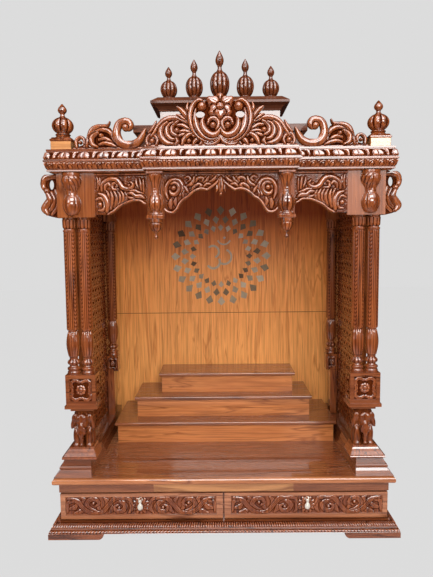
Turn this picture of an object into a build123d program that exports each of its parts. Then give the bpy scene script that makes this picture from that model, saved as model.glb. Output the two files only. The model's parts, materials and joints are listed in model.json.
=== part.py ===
"""Pooja mandir: a household shrine cabinet in carved teak.

Two drawers stand in a low case on a plinth. Its top is the deck of an open shrine with three
steps, paired pillars on elephants, a scalloped arch, a moulded cornice, a pierced crest and a
stepped roof with turned finials. X runs to the right, Y to the back and Z up, in millimetres,
with the origin on the floor under the middle of the whole piece.
"""
import os
from math import pi, sin

from build123d import *

os.makedirs("parts", exist_ok=True)

# Case
case_width = 1019
case_depth = 552
board = 18
thin_board = 12
seat_gap = 0.3
drawer_opening = 91.5
rail_height = 36
rail_middle_width = 432
deck_thick = 18.5
deck_side_reach = 12
deck_front_reach = 32

# Feet and plinth
foot_thick = 16
foot_length = 155
foot_depth = 90
foot_side_reach = 24
foot_front_reach = 48.5
foot_ogee = 14
plinth_height = 19
plinth_side_reach = 24
plinth_front_reach = 44
plinth_wedge_height = 22
plinth_wall = 18

# Drawers
front_thick = 16
reveal = 5
front_side_inset = 2.5
panel_end_border = 15
panel_inner_border = 20
panel_top_border = 10
panel_low_border = 12
panel_sink = 4
drawer_wall = 10
drawer_bottom = 6
drawer_side_gap = 5
drawer_height = 66
drawer_back_gap = 30

# Drop pulls
pull_place = 259
pull_rise = 19
pull_drop_length = 30
pull_plate_radius = 8
pull_plate_thick = 2
pull_pin_radius = 1.5
pull_pin_gap = 0.3
pull_pin_stand = 8
pull_ear_thick = 2
pull_eye_width = 4
pull_eye_wall = 1.6
pull_upper_bead = 4
pull_lower_bead = 6

# Steps
step_rise = 74
step_tread = 12
step_nosing = 8
step_board = 12
step_side_gap = 17
step_insets = [0, 69, 139]
step_depths = [270, 206, 151]
step_shifts = [10, 3, 18]

# Side bases, elephants and pillar blocks
base_height = 57
base_width = 86
base_side_set = 13.5
base_front_set = 6
base_inner_share = 0.3
elephant_height = 142
elephant_base = 32
elephant_half = 31
elephant_depth = 50
neck_board = 10
neck_board_width = 71
block_width = 91.5
block_depth = 60
block_side_set = 29.5
block_front_set = 5.7
block_height = 95
block_lip = 10
block_lip_reach = 4
block_frame = 11
block_sink = 4

# Pillars
pillar_height = 477
pillar_spacing = 44
pillar_radius = 17.5
rear_pillar_side_set = 94.5
rear_pillar_set = 426
rear_box_width = 42
rear_box_bottom = 227
rear_box_height = 59

# Shrine walls
side_panel_set = 69.5
side_panel_thick = 14
side_panel_gap = 6
back_panel_set = 534
back_panel_thick = 9
back_seam = 431
mandala_rise = 656
petal_count = 24
petal_thick = 2
petal_rings = [(178, 28, 34, 0), (143, 24, 29, 0.5), (111, 20, 24, 0)]

# Front of the shrine top
capital_height = 129
capital_width = 88.7
capital_side_set = 25.8
vase_radius = 31
side_bracket_reach = 56
side_bracket_thick = 24
strip_width = 23
spandrel_height = 121
spandrel_rise = 41
spandrel_foot = 38
spandrel_thick = 18
pendant_width = 51
arch_share = 0.514
pendant_block_height = 136
pendant_block_reach = 31
pendant_vase_radius = 24
pendant_drop = 59
arch_drop = 118
arch_rise = 25
arch_set = 20
arch_thick = 18
rim_width = 5
relief = 3

# Roof
ceiling_thick = 12
cornice_height = 66
cornice_side_set = 25.5
cornice_reach = 28.5
cornice_wall = 18
breakfront_step = 32
breakfront_half = 201
tier_half = 264
tier_height = 83
tier_slab = 21
tier_front = 65
tier_depth = 330
roof_box_half = 186
roof_box_height = 50
roof_box_front = 112
roof_box_depth = 150
roof_cap_height = 42
roof_cap_reach = 27

# Finials, each from the middle outwards
finial_spacing = 80
finial_set = 140
finial_heights = [149, 123, 101]
finial_radii = [30.5, 27, 26]
corner_finial_side_set = 47.5
corner_block_width = 64
corner_block_height = 26
corner_slab_height = 11
corner_slab_reach = 1
corner_finial_height = 100
corner_finial_radius = 29.5
corner_finial_front_set = 16

# Crest
crest_ground = 9
crest_thick = 16
crest_front_set = 46
crest_half = 212
crest_height = 143
wing_front_set = 14
wing_height = 88
wing_inner = 224

# Places that follow from the sizes
front = -(case_depth + breakfront_step + cornice_reach) / 2 + breakfront_step + cornice_reach
rear = front + case_depth
case_half = case_width / 2
case_floor = foot_thick + plinth_height
rail_bottom = case_floor + drawer_opening
case_top = rail_bottom + rail_height
deck_top = case_top + deck_thick
base_top = deck_top + base_height
elephant_top = base_top + elephant_height
block_bottom = elephant_top + neck_board + block_lip
block_top = block_bottom + block_height
pillar_top = block_top + pillar_height
shrine_top = pillar_top + capital_height
back_face = front + back_panel_set
roof_top = shrine_top + cornice_height
tier_top = roof_top + tier_height
box_top = tier_top + roof_box_height
cap_top = box_top + roof_cap_height
drawer_floor = case_floor + thin_board


def finish(builder, name):
    """Names a finished sub-part and writes it."""
    builder.part.label = name
    export_step(builder.part, f"parts/{name}.step")


def face_plane(x, y, z):
    """A plane that looks at the viewer, with X to the right and Z up."""
    return Plane(origin=(x, y, z), x_dir=(1, 0, 0), z_dir=(0, -1, 0))


def slab(x_from, x_to, y_from, y_to, z_from, z_to, mode=Mode.ADD):
    """A board between two opposite corners, in the part that is being built."""
    middle = ((x_from + x_to) / 2, (y_from + y_to) / 2, (z_from + z_to) / 2)
    with Locations(middle):
        Box(abs(x_to - x_from), abs(y_to - y_from), abs(z_to - z_from), mode=mode)


def courses(x_from, x_to, y_from, y_to, bottom, steps, inner_share=1, rear_share=1):
    """Moulded courses, each (height, reach at its bottom, reach at its top) beyond a block.

    The reach towards the middle of the shrine and to the back can be a share of the rest.
    """
    level = bottom
    for height, low_reach, high_reach in steps:
        outlines = []
        for reach, offset_z in ((low_reach, level), (high_reach, level + height)):
            left = x_from - reach * inner_share
            right = x_to + reach
            near = y_from - reach
            far = y_to + reach * rear_share
            with BuildSketch(Plane.XY.offset(offset_z)) as outline:
                with Locations(((left + right) / 2, (near + far) / 2)):
                    Rectangle(right - left, far - near)
            outlines.append(outline.sketch)
        loft(sections=outlines, ruled=True)
        level += height


def swell(low, high, end_radius, middle_radius, top_radius=None, count=5):
    """Points of a turned bulge, from one height to another, that grows to its middle."""
    last_radius = end_radius if top_radius is None else top_radius
    points = []
    for number in range(count + 1):
        share = number / count
        straight = end_radius + (last_radius - end_radius) * share
        full = middle_radius - (end_radius + last_radius) / 2
        points.append((straight + full * sin(pi * share), low + (high - low) * share))
    return points


def turned(x, y, bottom, outline):
    """A turning on a vertical axis through (radius, height) points from its foot to its top."""
    points = [(0, outline[0][1])] if outline[0][0] else []
    points += outline
    points += [(0, outline[-1][1])] if outline[-1][0] else []
    with BuildSketch(face_plane(x, y, bottom)) as profile:
        with BuildLine():
            Polyline(*points, close=True)
        make_face()
    revolve(profile.sketch, axis=Axis((x, y, bottom), (0, 0, 1)))


def pillar_outline(radius, height):
    """A pillar: disc, ball, leafy bulge, shaft, ring and petalled cap."""
    return [
        (radius + 2.5, 0),
        (radius + 2.5, 19),
        (radius - 4, 23),
        *swell(25, 45, radius - 5, radius + 1, count=4),
        (radius - 5, 50),
        *swell(53, 133, radius - 4, radius + 2),
        (radius, 137),
        (radius, height - 54),
        (radius + 1.5, height - 54),
        (radius + 1.5, height - 48),
        (radius - 2, height - 46),
        (radius + 1.5, height - 26),
        (radius + 2.5, height - 8),
        (radius + 2.5, height),
    ]


def finial_outline(height, radius):
    """A finial: foot, melon bulb, neck and teardrop, as shares of its height and radius."""
    return [
        (0.6 * radius, 0),
        (0.6 * radius, 0.11 * height),
        *swell(0.15 * height, 0.62 * height, 0.55 * radius, radius, 0.3 * radius, count=7),
        (0.22 * radius, 0.74 * height),
        (0.36 * radius, 0.83 * height),
        (0.22 * radius, 0.91 * height),
        (0, height),
    ]


def moulding(corner, outward, length, profile, start_mitre, end_mitre):
    """A length of moulding whose ends are mitred outside, inside (negative) or square (0).

    A mitre is this side's reach along its neighbour for one of its own, so 1 is an even corner.
    """
    out = Vector(*outward)
    along = out.cross(Vector(0, 0, 1))
    origin = Vector(*corner)
    spare = max(point[0] for point in profile) * max(1, start_mitre, end_mitre)
    with BuildPart() as run:
        section = Plane(origin=origin - along * spare, x_dir=out, z_dir=along)
        with BuildSketch(section):
            with BuildLine():
                Polyline(*profile, close=True)
            make_face()
        extrude(amount=length + 2 * spare)
        split(bisect_by=Plane(origin=origin, z_dir=along + out * start_mitre), keep=Keep.TOP)
        far_end = origin + along * length
        split(bisect_by=Plane(origin=far_end, z_dir=along - out * end_mitre), keep=Keep.BOTTOM)
    return run.part


def both_sides(piece):
    """The piece and its mirror image across the middle of the shrine."""
    return [piece, piece.mirror(Plane.YZ)]


def arc(first, middle, last):
    """The arc through three points of the sketch that is being drawn."""
    return Edge.make_three_point_arc(Vector(*first), Vector(*middle), Vector(*last))


def ribbon(first, middle, last, width):
    """A carved ribbon of even width along the arc through three points."""
    trace(arc(first, middle, last), line_width=width)


def leaf(root, tip, width, bend=0):
    """A pointed leaf from its root to its tip; the bend carries its middle to one side."""
    start = Vector(*root)
    end = Vector(*tip)
    across = (end - start).normalized().cross(Vector(0, 0, 1))
    middle = (start + end) * 0.5
    left = middle + across * (bend + width / 2)
    right = middle + across * (bend - width / 2)
    make_face([
        Edge.make_three_point_arc(start, left, end),
        Edge.make_three_point_arc(end, right, start),
    ])


def eye(centre, radius):
    """The round eye of a scroll."""
    with Locations(centre):
        Circle(radius)


# Feet: a flat pad with an ogee inner end under each corner
foot_half = case_half + foot_side_reach
foot_inner = foot_half - foot_length
with BuildPart() as feet:
    for foot_back in (front - foot_front_reach + foot_depth, rear):
        with BuildSketch(face_plane(0, foot_back, 0)):
            with BuildLine():
                toe = (foot_inner - foot_ogee, foot_thick)
                Polyline((foot_inner, 0), (foot_half, 0), (foot_half, foot_thick), toe)
                SagittaArc(toe, (foot_inner, 0), -foot_thick / 5)
            make_face()
        extrude(amount=foot_depth)
    mirror(about=Plane.YZ)
finish(feet, "feet")

# Plinth: a flared moulding round the front and sides, closed by a plain back rail
plinth_shares = [(1, 0), (0.92, 4), (0.74, 6), (0.78, 9), (0.7, 12), (0.5, 14), (0.46, plinth_height)]


def plinth_profile(reach):
    """The plinth's section for one reach, the same in form on the front and the sides."""
    outer = [(reach * share, height) for share, height in plinth_shares]
    return [(-plinth_wall, 0), *outer, (-plinth_wall, plinth_height)]


plinth_mitre = plinth_front_reach / plinth_side_reach
front_run = moulding(
    (case_half, front, foot_thick),
    (0, -1, 0),
    case_width,
    plinth_profile(plinth_front_reach),
    1 / plinth_mitre,
    1 / plinth_mitre,
)
with BuildPart() as plinth_front:
    add(front_run)
finish(plinth_front, "plinth_front")

left_run = moulding(
    (-case_half, front, foot_thick),
    (-1, 0, 0),
    case_depth,
    plinth_profile(plinth_side_reach),
    plinth_mitre,
    0,
)
wedge_profile = [(0, 0), (plinth_side_reach * plinth_shares[-1][0], 0), (0, plinth_wedge_height)]
left_wedge = moulding((-case_half, front, case_floor), (-1, 0, 0), case_depth, wedge_profile, 0, 0)
with BuildPart() as plinth_sides:
    add(both_sides(left_run))
    add(both_sides(left_wedge))
finish(plinth_sides, "plinth_sides")

plinth_inner = case_half - plinth_wall
with BuildPart() as plinth_back:
    slab(-plinth_inner, plinth_inner, rear - plinth_wall, rear, foot_thick, case_floor)
finish(plinth_back, "plinth_back")

# Case: floor, two sides, divider, back and the rail under the deck
case_front = front + front_thick + seat_gap
with BuildPart() as cabinet_floor:
    slab(board - case_half, case_half - board, case_front, rear, case_floor, drawer_floor)
finish(cabinet_floor, "cabinet_floor")

with BuildPart() as cabinet_sides:
    slab(case_half - board, case_half, case_front, rear, case_floor, case_top)
    mirror(about=Plane.YZ)
finish(cabinet_sides, "cabinet_sides")

with BuildPart() as cabinet_back:
    slab(board - case_half, case_half - board, rear - thin_board, rear, drawer_floor, case_top)
finish(cabinet_back, "cabinet_back")

with BuildPart() as cabinet_divider:
    slab(-board / 2, board / 2, case_front, rear - thin_board, drawer_floor, case_top)
    slab(-board / 2, board / 2, case_front, case_front + board, rail_bottom, case_top, Mode.SUBTRACT)
finish(cabinet_divider, "cabinet_divider")

rail_half = rail_middle_width / 2
with BuildPart() as front_rail_middle:
    slab(-rail_half, rail_half, front, case_front + board, rail_bottom, case_top)
finish(front_rail_middle, "front_rail_middle")

with BuildPart() as front_rail_ends:
    slab(rail_half, case_half - board, front, case_front + board, rail_bottom, case_top)
    slab(case_half - board, case_half, front, case_front, rail_bottom, case_top)
    mirror(about=Plane.YZ)
finish(front_rail_ends, "front_rail_ends")

deck_half = case_half + deck_side_reach
with BuildPart() as deck:
    slab(-deck_half, deck_half, front - deck_front_reach, rear, case_top, deck_top)
    level_edges = deck.edges().filter_by(Axis.Z, reverse=True)
    nosed_edges = level_edges.filter_by(lambda edge: edge.center().Y < rear - deck_thick)
    fillet(nosed_edges, radius=deck_thick * 0.4)
finish(deck, "deck")

# Drawers: an overlay front with a recessed panel, a tray behind it and a brass drop pull
front_bottom = case_floor + reveal
front_top = rail_bottom - reveal
drawer_back = rear - thin_board - drawer_back_gap
tray_bottom = drawer_floor + seat_gap
tray_top = tray_bottom + drawer_height
front_inner = reveal / 2
front_outer = case_half - front_side_inset
for side, name in ((-1, "left"), (1, "right")):
    with BuildPart() as drawer_front:
        slab(side * front_inner, side * front_outer, front, front + front_thick, front_bottom, front_top)
        slab(
            side * (front_inner + panel_inner_border),
            side * (front_outer - panel_end_border),
            front,
            front + panel_sink,
            front_bottom + panel_low_border,
            front_top - panel_top_border,
            Mode.SUBTRACT,
        )
    finish(drawer_front, f"{name}_drawer_front")

    tray_in = board / 2 + drawer_side_gap
    tray_out = case_half - board - drawer_side_gap
    tray_front = front + front_thick
    with BuildPart() as tray:
        slab(side * tray_in, side * tray_out, tray_front, drawer_back, tray_bottom, tray_top)
        slab(
            side * (tray_in + drawer_wall),
            side * (tray_out - drawer_wall),
            tray_front + drawer_wall,
            drawer_back - drawer_wall,
            tray_bottom + drawer_bottom,
            tray_top,
            Mode.SUBTRACT,
        )
    finish(tray, f"{name}_drawer_box")

    pull_x = side * pull_place
    pull_z = (front_bottom + front_top) / 2 + pull_rise
    plate_face = front + panel_sink
    pin_y = plate_face - pull_pin_stand
    ear_in = pull_eye_width / 2 + pull_pin_gap
    ear_out = ear_in + pull_ear_thick
    pin_start = Plane(origin=(pull_x - ear_out, pin_y, pull_z), z_dir=(1, 0, 0))
    with BuildPart() as pull_mount:
        with BuildSketch(face_plane(pull_x, plate_face, pull_z)):
            Circle(pull_plate_radius)
        extrude(amount=pull_plate_thick)
        for ear_side in (-1, 1):
            slab(
                pull_x + ear_side * ear_in,
                pull_x + ear_side * ear_out,
                pin_y - 2 * pull_pin_radius,
                plate_face - pull_plate_thick,
                pull_z - 2 * pull_pin_radius,
                pull_z + 2 * pull_pin_radius,
            )
        with BuildSketch(pin_start):
            Circle(pull_pin_radius)
        extrude(amount=2 * ear_out)
    finish(pull_mount, f"{name}_pull_mount")

    eye_hole = pull_pin_radius + pull_pin_gap
    stem_top = pull_drop_length - eye_hole - pull_eye_wall / 2
    lower_top = 2 * pull_lower_bead
    with BuildPart() as pull_drop:
        with BuildSketch(Plane(origin=(pull_x - pull_eye_width / 2, pin_y, pull_z), z_dir=(1, 0, 0))):
            Circle(eye_hole + pull_eye_wall)
        extrude(amount=pull_eye_width)
        drop_outline = [
            *swell(0, lower_top, 0, pull_lower_bead, 2, count=4),
            *swell(lower_top + 1, lower_top + 2 * pull_upper_bead, 2, pull_upper_bead, count=4),
            (pull_pin_radius, stem_top),
        ]
        turned(pull_x, pin_y, pull_z - pull_drop_length, drop_outline)
        with BuildSketch(pin_start):
            Circle(eye_hole)
        extrude(amount=2 * ear_out, mode=Mode.SUBTRACT)
    finish(pull_drop, f"{name}_pull_drop")

# Steps: three stacked boxes between the side bases, each with a tread that overhangs its riser
base_outer = case_half - base_side_set
base_inner = base_outer - base_width
step_widths = [2 * (base_inner - step_side_gap - inset) for inset in step_insets]
with BuildPart() as step_treads:
    for number, (width, depth, shift) in enumerate(zip(step_widths, step_depths, step_shifts)):
        tread_top = deck_top + (number + 1) * step_rise
        left = shift - width / 2
        slab(left, left + width, back_face - depth, back_face, tread_top - step_tread, tread_top)
    noses = step_treads.edges().filter_by(Axis.X).filter_by(
        lambda edge: edge.center().Y < back_face - step_tread
    )
    fillet(noses, radius=step_tread * 0.35)
finish(step_treads, "step_treads")

with BuildPart() as step_boxes:
    for number, (width, depth, shift) in enumerate(zip(step_widths, step_depths, step_shifts)):
        low = deck_top + number * step_rise
        high = low + step_rise - step_tread
        half = width / 2 - step_nosing
        riser = back_face - depth + step_nosing
        slab(shift - half, shift + half, riser, riser + step_board, low, high)
        for cheek in (-1, 1):
            outer_face = shift + cheek * half
            inner_face = shift + cheek * (half - step_board)
            slab(inner_face, outer_face, riser, back_face, low, high)
finish(step_boxes, "step_boxes")

# Side bases: a moulded block along each side of the deck
base_cyma = [(12, 24, 12), (8, 12, 5), (3, 7, 9), (4, 9, 9), (3, 9, 7), (16, 4, -3), (5, -3, 2)]
base_lip = base_height - sum(course[0] for course in base_cyma)
with BuildPart() as side_bases:
    courses(
        base_inner,
        base_outer,
        front + base_front_set,
        back_face,
        deck_top,
        [*base_cyma, (base_lip, 2, 2)],
        inner_share=base_inner_share,
        rear_share=0,
    )
    mirror(about=Plane.YZ)
finish(side_bases, "side_bases")

# Elephants: a figure that faces the front on a moulded foot, under each front pillar block
block_outer = case_half - block_side_set
block_inner = block_outer - block_width
block_centre = block_outer - block_width / 2
block_front = front + block_front_set
block_back = block_front + block_depth
pillar_y = block_front + block_depth / 2
body_low = base_top + elephant_base
body_height = elephant_height - elephant_base
body_front = block_front + 6
with BuildPart() as elephants:
    courses(
        block_centre - elephant_half,
        block_centre + elephant_half,
        body_front,
        body_front + elephant_depth,
        base_top,
        [(6, 26, 26), (8, 24, 14), (8, 14, 8), (elephant_base - 22, 8, 5)],
        inner_share=0.6,
        rear_share=0.2,
    )
    courses(
        block_centre - elephant_half,
        block_centre + elephant_half,
        body_front,
        body_front + elephant_depth,
        body_low,
        [
            (0.12 * body_height, 2, 0),
            (0.33 * body_height, 0, -5),
            (0.25 * body_height, -5, 1),
            (0.18 * body_height, 1, -1),
            (0.12 * body_height, -1, -7),
        ],
        rear_share=0,
    )
    leg_gap = elephant_half / 3
    slab(
        block_centre - leg_gap / 2,
        block_centre + leg_gap / 2,
        body_front - 2,
        body_front + elephant_depth / 2,
        body_low,
        body_low + 0.34 * body_height,
        Mode.SUBTRACT,
    )
    with BuildSketch(face_plane(block_centre, body_front + 12, body_low + 0.7 * body_height)):
        for ear in (-1, 1):
            with Locations((ear * 0.72 * elephant_half, 0)):
                Ellipse(0.36 * elephant_half, 0.22 * body_height)
    extrude(amount=14)
    trunk_sections = []
    for share, radius, lean in ((0.8, 10, 2), (0.5, 7.5, -3), (0.2, 5, 1)):
        with BuildSketch(Plane.XY.offset(body_low + share * body_height)) as trunk_ring:
            with Locations((block_centre, body_front + lean)):
                Circle(radius)
        trunk_sections.append(trunk_ring.sketch)
    loft(sections=trunk_sections, ruled=True)
    mirror(about=Plane.YZ)
finish(elephants, "elephants")

# Pillar blocks: a neck board, a lip and a block with a sunk panel
block_reach = (block_width - neck_board_width) / 2
with BuildPart() as pillar_blocks:
    courses(
        block_inner,
        block_outer,
        block_front,
        block_back,
        elephant_top,
        [
            (neck_board, -block_reach, -block_reach),
            (block_lip, block_lip_reach, block_lip_reach),
            (block_height, 0, 0),
        ],
    )
    with BuildSketch(face_plane(block_centre, block_front, block_bottom + block_height / 2)):
        Rectangle(block_width - 2 * block_frame, block_height - 2 * block_frame)
    extrude(amount=-block_sink, mode=Mode.SUBTRACT)
    mirror(about=Plane.YZ)
finish(pillar_blocks, "pillar_blocks")

# Pillars: turned shafts in pairs at the front and one at each side of the back
with BuildPart() as front_pillars:
    for place in (-1, 1):
        turned(
            block_centre + place * pillar_spacing / 2,
            pillar_y,
            block_top,
            pillar_outline(pillar_radius, pillar_height),
        )
    mirror(about=Plane.YZ)
finish(front_pillars, "front_pillars")

rear_centre = case_half - rear_pillar_side_set
rear_y = front + rear_pillar_set
rear_half = rear_box_width / 2
rear_low = deck_top + rear_box_bottom
rear_high = rear_low + rear_box_height
with BuildPart() as rear_pillars:
    slab(base_inner, rear_centre + rear_half, rear_y - rear_half, rear_y + rear_half, base_top, rear_low)
    slab(
        rear_centre - rear_half,
        rear_centre + rear_half,
        rear_y - rear_half,
        rear_y + rear_half,
        rear_low,
        rear_high,
    )
    turned(rear_centre, rear_y, rear_high, pillar_outline(pillar_radius, pillar_top - rear_high))
    slab(
        rear_centre - rear_half,
        rear_centre + rear_half,
        rear_y - rear_half,
        rear_y + rear_half,
        pillar_top,
        shrine_top,
    )
    mirror(about=Plane.YZ)
finish(rear_pillars, "rear_pillars")

# Shrine walls
panel_inner = case_half - side_panel_set
panel_outer = panel_inner + side_panel_thick
with BuildPart() as side_panels:
    slab(panel_inner, panel_outer, block_back + side_panel_gap, back_face, base_top, shrine_top)
    mirror(about=Plane.YZ)
finish(side_panels, "side_panels")

seam_level = deck_top + back_seam
panel_rear = back_face + back_panel_thick
with BuildPart() as back_panel_lower:
    slab(-panel_outer, panel_outer, back_face, panel_rear, deck_top, seam_level)
finish(back_panel_lower, "back_panel_lower")

with BuildPart() as back_panel_upper:
    slab(-panel_outer, panel_outer, back_face, panel_rear, seam_level, shrine_top)
finish(back_panel_upper, "back_panel_upper")

# Mirror work on the back panel: three rings of kites round a sacred syllable
mandala_face = face_plane(0, back_face, deck_top + mandala_rise)
with BuildPart() as mirror_petals:
    with BuildSketch(mandala_face):
        for ring_radius, width, length, turn in petal_rings:
            tip = length / 2
            shoulder = length / 10
            with PolarLocations(ring_radius, petal_count, start_angle=turn * 360 / petal_count):
                Polygon((-tip, 0), (shoulder, width / 2), (tip, 0), (shoulder, -width / 2))
    extrude(amount=petal_thick)
finish(mirror_petals, "mirror_petals")

with BuildPart() as mirror_om:
    with BuildSketch(mandala_face):
        ribbon((-52, -36), (-20, -46), (-8, -10), 9)
        ribbon((-48, 34), (-12, 30), (-22, -4), 8)
        ribbon((-4, -26), (34, -22), (22, 24), 8)
        ribbon((-12, 62), (12, 46), (36, 62), 6)
        eye((14, 72), 5)
    extrude(amount=petal_thick)
finish(mirror_om, "mirror_om")

# Capital blocks and their brackets
capital_outer = case_half - capital_side_set
capital_inner = capital_outer - capital_width
capital_centre = (capital_inner + capital_outer) / 2
with BuildPart() as capital_blocks:
    slab(capital_inner, capital_outer, front, block_back, pillar_top, shrine_top)
    mirror(about=Plane.YZ)
finish(capital_blocks, "capital_blocks")

with BuildPart() as front_brackets:
    vase_outline = [
        (vase_radius * 0.3, 0.05 * capital_height),
        *swell(0.08 * capital_height, 0.5 * capital_height, vase_radius * 0.6, vase_radius, count=6),
        (vase_radius * 0.55, 0.66 * capital_height),
        (vase_radius * 0.72, 0.9 * capital_height),
        (vase_radius * 0.85, 0.95 * capital_height),
        (vase_radius * 0.85, capital_height),
    ]
    turned(capital_centre, front, pillar_top, vase_outline)
    split(bisect_by=Plane(origin=(0, front, 0), z_dir=(0, -1, 0)), keep=Keep.TOP)
    mirror(about=Plane.YZ)
finish(front_brackets, "front_brackets")

bracket_half = side_bracket_thick / 2
with BuildPart() as side_brackets:
    with BuildSketch(face_plane(capital_outer, pillar_y + bracket_half, pillar_top)):
        reach = side_bracket_reach
        height = capital_height
        with Locations((0.12 * reach, 0.52 * height)):
            Rectangle(0.24 * reach, 0.92 * height)
        ribbon((0, 0.9 * height), (0.6 * reach, 0.94 * height), (0.9 * reach, 0.78 * height), 11)
        ribbon((0.9 * reach, 0.78 * height), (0.86 * reach, 0.7 * height), (0.62 * reach, 0.68 * height), 8)
        eye((0.5 * reach, 0.62 * height), 10)
        ribbon((0.2 * reach, 0.5 * height), (0.85 * reach, 0.42 * height), (0.86 * reach, 0.2 * height), 12)
        ribbon((0.86 * reach, 0.2 * height), (0.6 * reach, 0.07 * height), (0, 0.07 * height), 12)
        eye((0.45 * reach, 0.26 * height), 0.32 * reach)
    extrude(amount=side_bracket_thick)
    split(bisect_by=Plane(origin=(capital_outer, 0, 0), z_dir=(1, 0, 0)), keep=Keep.TOP)
    mirror(about=Plane.YZ)
finish(side_brackets, "side_brackets")

# Top of the front opening: plain strips, spandrels, pendants and the scalloped arch
strip_inner = capital_inner - strip_width
with BuildPart() as front_strips:
    slab(strip_inner, capital_inner, front, front + spandrel_thick, pillar_top, shrine_top)
    mirror(about=Plane.YZ)
finish(front_strips, "front_strips")

pendant_inner = arch_share * (strip_inner - pendant_width)
pendant_outer = pendant_inner + pendant_width
spandrel_span = strip_inner - pendant_outer
spandrel_foot_end = (strip_inner - spandrel_foot, -spandrel_height)
spandrel_crown = (pendant_outer + 0.3 * spandrel_span, spandrel_rise - spandrel_height)
spandrel_curl = (pendant_outer + 0.06 * spandrel_span, spandrel_rise - spandrel_height - 11)
spandrel_end = (pendant_outer, spandrel_rise - spandrel_height + 4)
sweep_middle = (pendant_outer + 0.5 * spandrel_span, 0.75 * spandrel_rise - spandrel_height)
curl_middle = (pendant_outer + 0.16 * spandrel_span, spandrel_rise - spandrel_height + 1)
spandrel_arcs = [
    arc(spandrel_foot_end, sweep_middle, spandrel_crown),
    arc(spandrel_crown, curl_middle, spandrel_curl),
]
with BuildPart() as spandrels:
    with BuildSketch(face_plane(0, front + spandrel_thick, shrine_top)):
        with BuildLine():
            Polyline(spandrel_end, (pendant_outer, 0), (strip_inner, 0))
            Polyline((strip_inner, 0), (strip_inner, -spandrel_height), spandrel_foot_end)
            Line(spandrel_curl, spandrel_end)
            add(spandrel_arcs)
        make_face()
    extrude(amount=spandrel_thick)
    volute_x = strip_inner - 0.1 * spandrel_span
    with BuildSketch(face_plane(0, front, shrine_top)):
        eye((volute_x, -0.76 * spandrel_height), 9)
        ribbon(
            (volute_x - 22, -0.84 * spandrel_height),
            (volute_x, -0.56 * spandrel_height),
            (volute_x + 6, -0.6 * spandrel_height),
            7,
        )
        for share, root_rise in ((0.3, 0.7), (0.45, 0.66), (0.6, 0.62)):
            root = (strip_inner - (share + 0.1) * spandrel_span, -root_rise * spandrel_height)
            tip = (strip_inner - (share - 0.02) * spandrel_span, -0.2 * spandrel_height)
            leaf(root, tip, 13, 4)
    extrude(amount=relief)
    mirror(about=Plane.YZ)
finish(spandrels, "spandrels")

pendant_centre = (pendant_inner + pendant_outer) / 2
vase_y = front - pendant_block_reach + 10
with BuildPart() as pendants:
    slab(
        pendant_inner,
        pendant_outer,
        front - pendant_block_reach,
        front - arch_set + arch_thick,
        shrine_top - pendant_block_height,
        shrine_top,
    )
    vase = pendant_vase_radius
    turned(
        pendant_centre,
        vase_y,
        shrine_top - pendant_block_height,
        [
            (vase, 0),
            (vase, 5),
            (vase * 0.7, 9),
            *swell(12, 58, vase * 0.7, vase * 1.05, vase * 0.6, count=5),
            (vase * 0.5, 76),
            (vase * 0.8, 0.86 * pendant_block_height),
            (vase * 0.95, 0.95 * pendant_block_height),
            (vase * 0.95, pendant_block_height),
        ],
    )
    turned(
        pendant_centre,
        vase_y,
        shrine_top - pendant_block_height - pendant_drop,
        [
            *swell(0, 9, 0, 6, 2, count=4),
            (3, 14),
            (vase * 0.4, 22),
            *swell(24, 44, vase * 0.55, vase * 0.9, count=4),
            (vase * 0.6, 48),
            (vase, pendant_drop - 4),
            (vase, pendant_drop),
        ],
    )
    mirror(about=Plane.YZ)
finish(pendants, "pendants")

# The arch's scallops, from the pendant to the point in the middle
arch_half = pendant_inner
lobe_end = (0.79 * arch_half, 0.1 * arch_drop - arch_drop)
first_notch = (0.545 * arch_half, 0.38 * arch_drop - arch_drop)
second_notch = (0.24 * arch_half, 0.51 * arch_drop - arch_drop)
arch_point = (0, -arch_rise)
lobe_start = (arch_half, 0.06 * arch_drop - arch_drop)
scallops = [
    arc(lobe_start, (0.9 * arch_half, -arch_drop), lobe_end),
    arc(lobe_end, (0.7 * arch_half, 0.31 * arch_drop - arch_drop), first_notch),
    arc(first_notch, (0.41 * arch_half, 0.545 * arch_drop - arch_drop), second_notch),
    arc(second_notch, (0.1 * arch_half, 0.66 * arch_drop - arch_drop), arch_point),
]
arch_face = front - arch_set
with BuildPart() as arch_panel:
    with BuildSketch(face_plane(0, arch_face + arch_thick, shrine_top)):
        with BuildLine():
            Polyline(lobe_start, (arch_half, 0), (0, 0))
            add(scallops)
            Line(arch_point, (0, 0))
        make_face()
        mirror(about=Plane.YZ)
        leaf((0, 6 - arch_rise), (0, -arch_rise - 46), 15)
    extrude(amount=arch_thick)
    with BuildSketch(face_plane(0, arch_face, shrine_top)):
        trace(scallops, line_width=rim_width)
        eye((0.86 * arch_half, -0.36 * arch_drop), 9)
        ribbon(
            (0.72 * arch_half, -0.2 * arch_drop),
            (0.66 * arch_half, -0.4 * arch_drop),
            (0.78 * arch_half, -0.56 * arch_drop),
            7,
        )
        mirror(about=Plane.YZ)
        Rectangle(2 * arch_half, 3 * arch_drop, mode=Mode.INTERSECT)
    extrude(amount=relief)
finish(arch_panel, "arch_panel")

# Roof: ceiling, cornice round the front and sides, back rail and top board
cornice_half = case_half - cornice_side_set
with BuildPart() as ceiling_board:
    slab(-cornice_half, cornice_half, front, rear, shrine_top, shrine_top + ceiling_thick)
    slab(
        -breakfront_half,
        breakfront_half,
        front - breakfront_step,
        front,
        shrine_top,
        shrine_top + ceiling_thick,
    )
finish(ceiling_board, "ceiling_board")

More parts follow.
